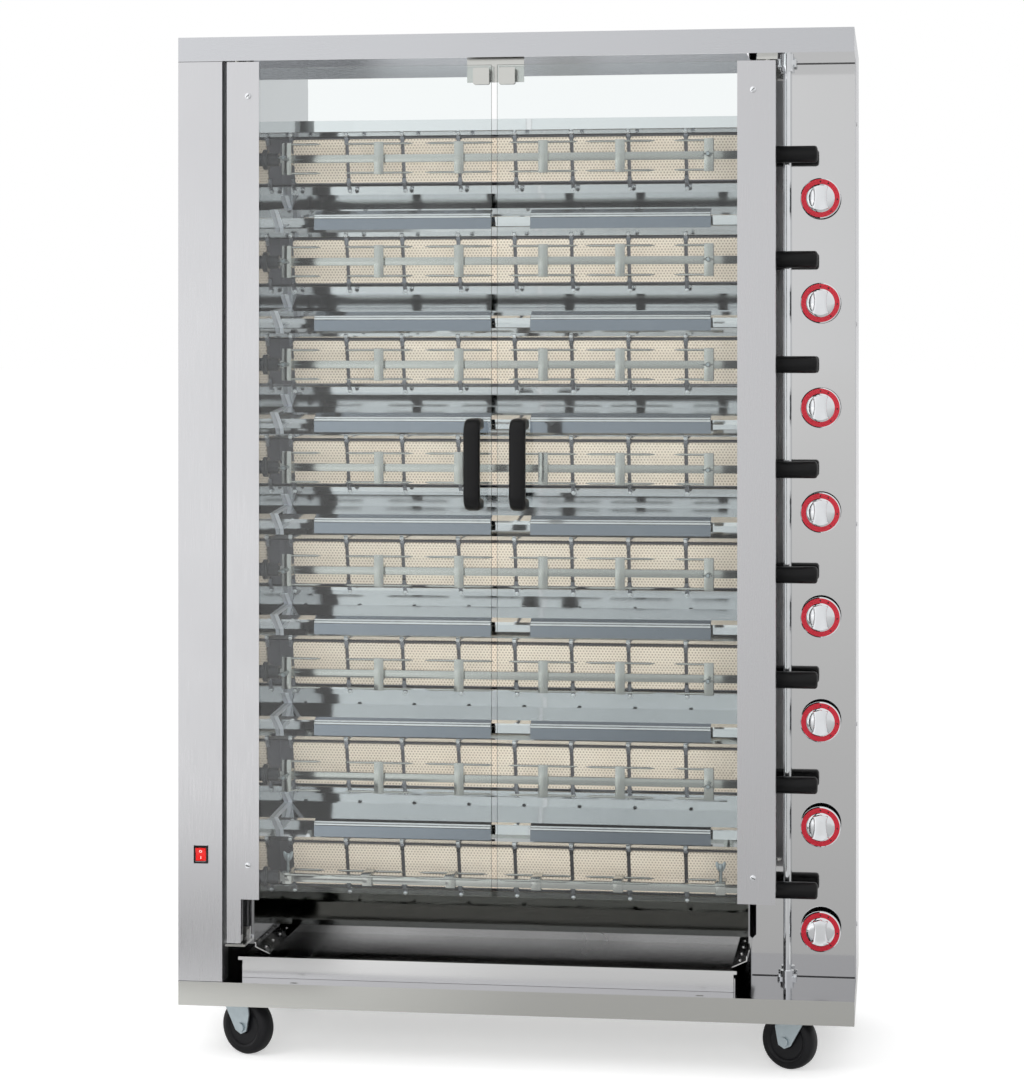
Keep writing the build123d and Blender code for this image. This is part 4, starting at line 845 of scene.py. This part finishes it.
for side in ("left", "right"):
    node = side + "_door_handle"
    low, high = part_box(node)
    centre = middle(node)
    makePiece(side + "Handle", bowHandle(handleShape, high[2] - low[2]), ["nylonBlack"], side + "_door",
              [node], Matrix.Translation((centre.x, high[1], centre.z)), 50)

print("rocker switch")

switchShape = {
    "width": 0.0186,
    "height": 0.023,
    "front": 0.003,
    "waist": 0.0014,
    "back": 0.006,
    "backInset": 0.001,
    "edge": 0.0007,
    "tilt": math.radians(8.0),
    "ring": (0.0016, 0.0024),  # radii of the mark for off
    "bar": (0.0009, 0.0046),  # width and height of the mark for on
    "markProud": 0.0002,
}


def rockerBody(spec):
    rocker = bmesh.new()
    half, inset = spec["height"] / 2, spec["backInset"]
    points = [(spec["back"], -half + inset), (-spec["front"], -half), (-spec["waist"], 0),
              (-spec["front"], half), (spec["back"], half - inset)]
    outline = rocker.faces.new([rocker.verts.new((-spec["width"] / 2, y, z)) for y, z in points])
    moved = bmesh.ops.extrude_face_region(rocker, geom=[outline])["geom"]
    bmesh.ops.translate(rocker, vec=(spec["width"], 0, 0), verts=vertsIn(moved))
    bmesh.ops.recalc_face_normals(rocker, faces=rocker.faces)
    roundEdges(rocker, rocker.edges[:], spec["edge"], 3)
    return rocker


def rockerMarks(spec):
    # A ring for off above and a bar for on below, as moulded on most rocker switches
    marks = bmesh.new()
    slope = math.atan2(spec["front"] - spec["waist"], spec["height"] / 2)
    out, above = -(spec["front"] + spec["waist"]) / 2, spec["height"] / 4
    upper = Matrix.Translation((0, out, above)) @ Matrix.Rotation(slope, 4, "X")
    lower = Matrix.Translation((0, out, -above)) @ Matrix.Rotation(-slope, 4, "X")
    inner, outer = spec["ring"]
    width, height = spec["bar"]
    proud = spec["markProud"]
    ring = bmesh.new()
    lathe(ring, [(inner, -proud), (outer, -proud), (outer, proud), (inner, proud), (inner, -proud)], 24)
    bmesh.ops.transform(ring, matrix=upper, verts=ring.verts)
    addShape(marks, ring)
    bmesh.ops.create_cube(marks, size=1, matrix=lower @ Matrix.Diagonal((width, proud * 2, height, 1)))
    return marks


shape = rockerBody(switchShape)
addShape(shape, rockerMarks(switchShape), 1)
place = Matrix.Translation(joints["switch_rock"]["pos_m"]) @ Matrix.Rotation(switchShape["tilt"], 4, "X")
makePiece("rockerSwitch", shape, ["switchRed", "printWhite"], "rocker_switch",
          ["rocker_switch"], place, 30)

print("caster wheels")

wheelShape = {"radius": 0.05, "half": 0.016, "core": 0.036, "bore": 0.00505, "hub": 0.012, "dish": 0.0035}


def casterWheel(spec):
    # Solid rubber tyre on a moulded core; the tread is crowned and its shoulders are round
    wheel = bmesh.new()
    r, h, core, hub = spec["radius"], spec["half"], spec["core"], spec["hub"]
    low = h - spec["dish"]
    disc = [(spec["bore"], h), (hub, h), (hub + 0.0015, low), (core - 0.005, low), (core - 0.003, h - 0.0008)]
    groove = [(core, h), (core + 0.0008, h - 0.0006), (core + 0.0016, h)]
    tyre = [(r - 0.007, h - 0.0008), (r - 0.003, h - 0.003), (r - 0.0008, h - 0.0075), (r, 0.0)]
    side = disc + groove + tyre
    lathe(wheel, side + [(radius, -along) for radius, along in side[-2::-1]] + [side[0]], 64)
    return wheel


for corner in casters:
    node = corner + "_caster_wheel"
    joint = joints[corner + "_roll"]
    axle = Vector(joint["axis"])
    place = Matrix.Translation(joint["pos_m"]) @ Matrix.Rotation(math.atan2(-axle.x, axle.y), 4, "Z")
    end, side = corner.split("_")
    makePiece(end + side.title() + "Wheel", casterWheel(wheelShape), ["wheelRubber"], node,
              [node], place, 40)

print("camera and lamps")

camera = {
    "place": (0.667, -5.028, 1.225),
    "turn": math.radians(7.9),
    "lens": 92.9,
    "lift": -0.166,  # the camera stands level, as the upright edges show
    "filmHeight": 36,
    "filmWidth": 27,  # narrow, so that a view from another side stands back and holds the whole machine
}
cameraData = bpy.data.cameras.new("camera")
cameraData.lens = camera["lens"]
cameraData.sensor_fit = "VERTICAL"
cameraData.sensor_height = camera["filmHeight"]
cameraData.sensor_width = camera["filmWidth"]
cameraData.shift_y = camera["lift"]
cameraObject = bpy.data.objects.new("camera", cameraData)
cameraObject.location = camera["place"]
cameraObject.rotation_euler = (math.pi / 2, 0, camera["turn"])
bpy.context.collection.objects.link(cameraObject)
bpy.context.scene.camera = cameraObject

lamps = [
    # place, target, size, watts
    ((-2.6, -3.6, 3.4), (0, 0, 0.9), 2.4, 60),
    ((0.5, -5.6, 1.1), (0, 0, 0.9), 3.2, 240),
]
for index, (place, target, size, watts) in enumerate(lamps):
    lampData = bpy.data.lights.new("lamp" + str(index), "AREA")
    lampData.size = size
    lampData.energy = watts
    lamp = bpy.data.objects.new("lamp" + str(index), lampData)
    lamp.location = place
    lamp.visible_glossy = False  # flat metal mirrors the even studio, not the lamps
    lamp.rotation_euler = (Vector(target) - Vector(place)).to_track_quat("-Z", "Y").to_euler()
    bpy.context.collection.objects.link(lamp)

print("studio and floor")

studio = {
    "horizon": "#E2E3E5",
    "zenith": "#FFFFFF",
    "soft": 0.85,  # strength that lights paint, plastic and rubber
    "mirrored": 0.9,  # strength that bright metal sees
    "leftSide": (-0.28, 0.02),  # the studio is brighter on the left, where the main lamp stands
    "leftGain": 1.36,
}


def studioWorld(spec):
    # The camera and glass see plain white; everything else sees a soft sky
    world = bpy.data.worlds.new("studio")
    world.use_nodes = True
    bpy.context.scene.world = world
    tree = world.node_tree
    tree.nodes.clear()
    rays = addNode(tree, "ShaderNodeLightPath").outputs
    way = parts(tree, addNode(tree, "ShaderNodeTexCoord").outputs["Generated"])
    sky = addNode(tree, "ShaderNodeValToRGB", i0=maths(tree, "MULTIPLY_ADD", way["Z"], 0.5, 0.5))
    sky.color_ramp.elements[0].color = colour(spec["horizon"])
    sky.color_ramp.elements[1].color = colour(spec["zenith"])
    gain = maths(tree, "MULTIPLY", mapRange(tree, way["X"], *spec["leftSide"], spec["leftGain"], 1.0),
                 spec["mirrored"])
    soft = addNode(tree, "ShaderNodeBackground", Color=sky.outputs[0], Strength=spec["soft"])
    mirrored = addNode(tree, "ShaderNodeBackground", Color=sky.outputs[0], Strength=gain)
    plain = addNode(tree, "ShaderNodeBackground", Color=(1, 1, 1, 1), Strength=1.0)
    lit = addNode(tree, "ShaderNodeMixShader", i0=rays["Is Glossy Ray"], i1=soft.outputs[0],
                  i2=mirrored.outputs[0])
    seen = maths(tree, "MAXIMUM", rays["Is Camera Ray"], rays["Is Transmission Ray"])
    both = addNode(tree, "ShaderNodeMixShader", i0=seen, i1=lit.outputs[0], i2=plain.outputs[0])
    output = tree.nodes.new("ShaderNodeOutputWorld")
    tree.links.new(both.outputs[0], output.inputs["Surface"])


studioWorld(studio)

floorShape = {
    "size": 400,
    "tone": "#E6E6E6",
    "seen": 0.42,  # glow that brings the open floor to white
    # What bright metal sees of the floor, in metres from the machine's middle
    "front": (-0.25, -0.45),  # from, to, where the lit part in front begins
    "behind": (0.4, 1.0),
    "glow": 0.5,  # near the machine
    "rise": 0.32,  # far from it
    "riseReach": 6.0,
    "sideReach": 2.0,
    "leftSide": (-0.36, -0.02),  # brighter on the left, where the main lamp stands
    "leftGain": 1.9,
    # Painted shade: an unlit dark patch lies in front on the left, seen only in bright metal; its edge runs
    # aslant
    "shadeSlant": -0.209,
    "shadeEdge": (-0.23, -0.30),
    "shadeFront": (-1.8, -1.65),
    "shadeBack": (-0.8, -0.9),
    "shadeDims": -0.75,
}


def floorGlow(tree, spec, x, y):
    # Strength that bright metal sees at a place in front of the machine
    def step(value, start, end, low=0.0, high=1.0):
        return mapRange(tree, value, start, end, low, high)

    reach = maths(tree, "ABSOLUTE", y)
    rise = maths(tree, "DIVIDE", reach, maths(tree, "ADD", reach, spec["riseReach"]))
    aside = maths(tree, "DIVIDE", x, maths(tree, "MAXIMUM", reach, spec["sideReach"]))
    level = maths(tree, "MULTIPLY", maths(tree, "MULTIPLY_ADD", rise, spec["rise"], spec["glow"]),
                  step(aside, *spec["leftSide"], spec["leftGain"], 1.0))
    # painted shade: an unlit patch in front on the left, dimming what bright metal sees
    slant = maths(tree, "MULTIPLY_ADD", y, spec["shadeSlant"], x)
    deep = maths(tree, "MULTIPLY", step(y, *spec["shadeFront"]), step(y, *spec["shadeBack"]))
    unlitPatch = maths(tree, "MULTIPLY", step(slant, *spec["shadeEdge"]), deep)
    return maths(tree, "MULTIPLY", level, maths(tree, "MULTIPLY_ADD", unlitPatch, spec["shadeDims"], 1.0))


def studioFloor(spec):
    # Painted board: plain for the camera and for paint, with a glow of its own for bright metal
    material, tree, output = newMaterial("studioFloor")
    rays = addNode(tree, "ShaderNodeLightPath").outputs
    place = parts(tree, objectPlace(tree))
    front = mapRange(tree, place["Y"], *spec["front"], 0.0, 1.0)
    behind = mapRange(tree, place["Y"], *spec["behind"], 0.0, 1.0)
    mirrored = maths(tree, "MULTIPLY_ADD", front, floorGlow(tree, spec, place["X"], place["Y"]), behind)
    seen = maths(tree, "MULTIPLY_ADD", rays["Is Camera Ray"], spec["seen"],
                 maths(tree, "MULTIPLY", rays["Is Glossy Ray"], mirrored))
    hidden = maths(tree, "MULTIPLY", rays["Is Glossy Ray"], maths(tree, "MAXIMUM", front, behind))
    board = addNode(tree, "ShaderNodeBsdfDiffuse",
                    Color=mixColour(tree, hidden, colour(spec["tone"]), colour("#000000")))
    glow = addNode(tree, "ShaderNodeEmission", Color=(1, 1, 1, 1), Strength=seen)
    finishMaterial(material, tree, output,
                   addNode(tree, "ShaderNodeAddShader", i0=board.outputs[0], i1=glow.outputs[0]))


studioFloor(floorShape)
floorMesh = bpy.data.meshes.new("floor")
floorPlane = bmesh.new()
bmesh.ops.create_grid(floorPlane, x_segments=1, y_segments=1, size=floorShape["size"])
floorPlane.to_mesh(floorMesh)
floorPlane.free()
floorMesh.materials.append(materials["studioFloor"])
floor = bpy.data.objects.new("floor", floorMesh)
bpy.context.collection.objects.link(floor)

bpy.context.scene.view_settings.view_transform = "Standard"
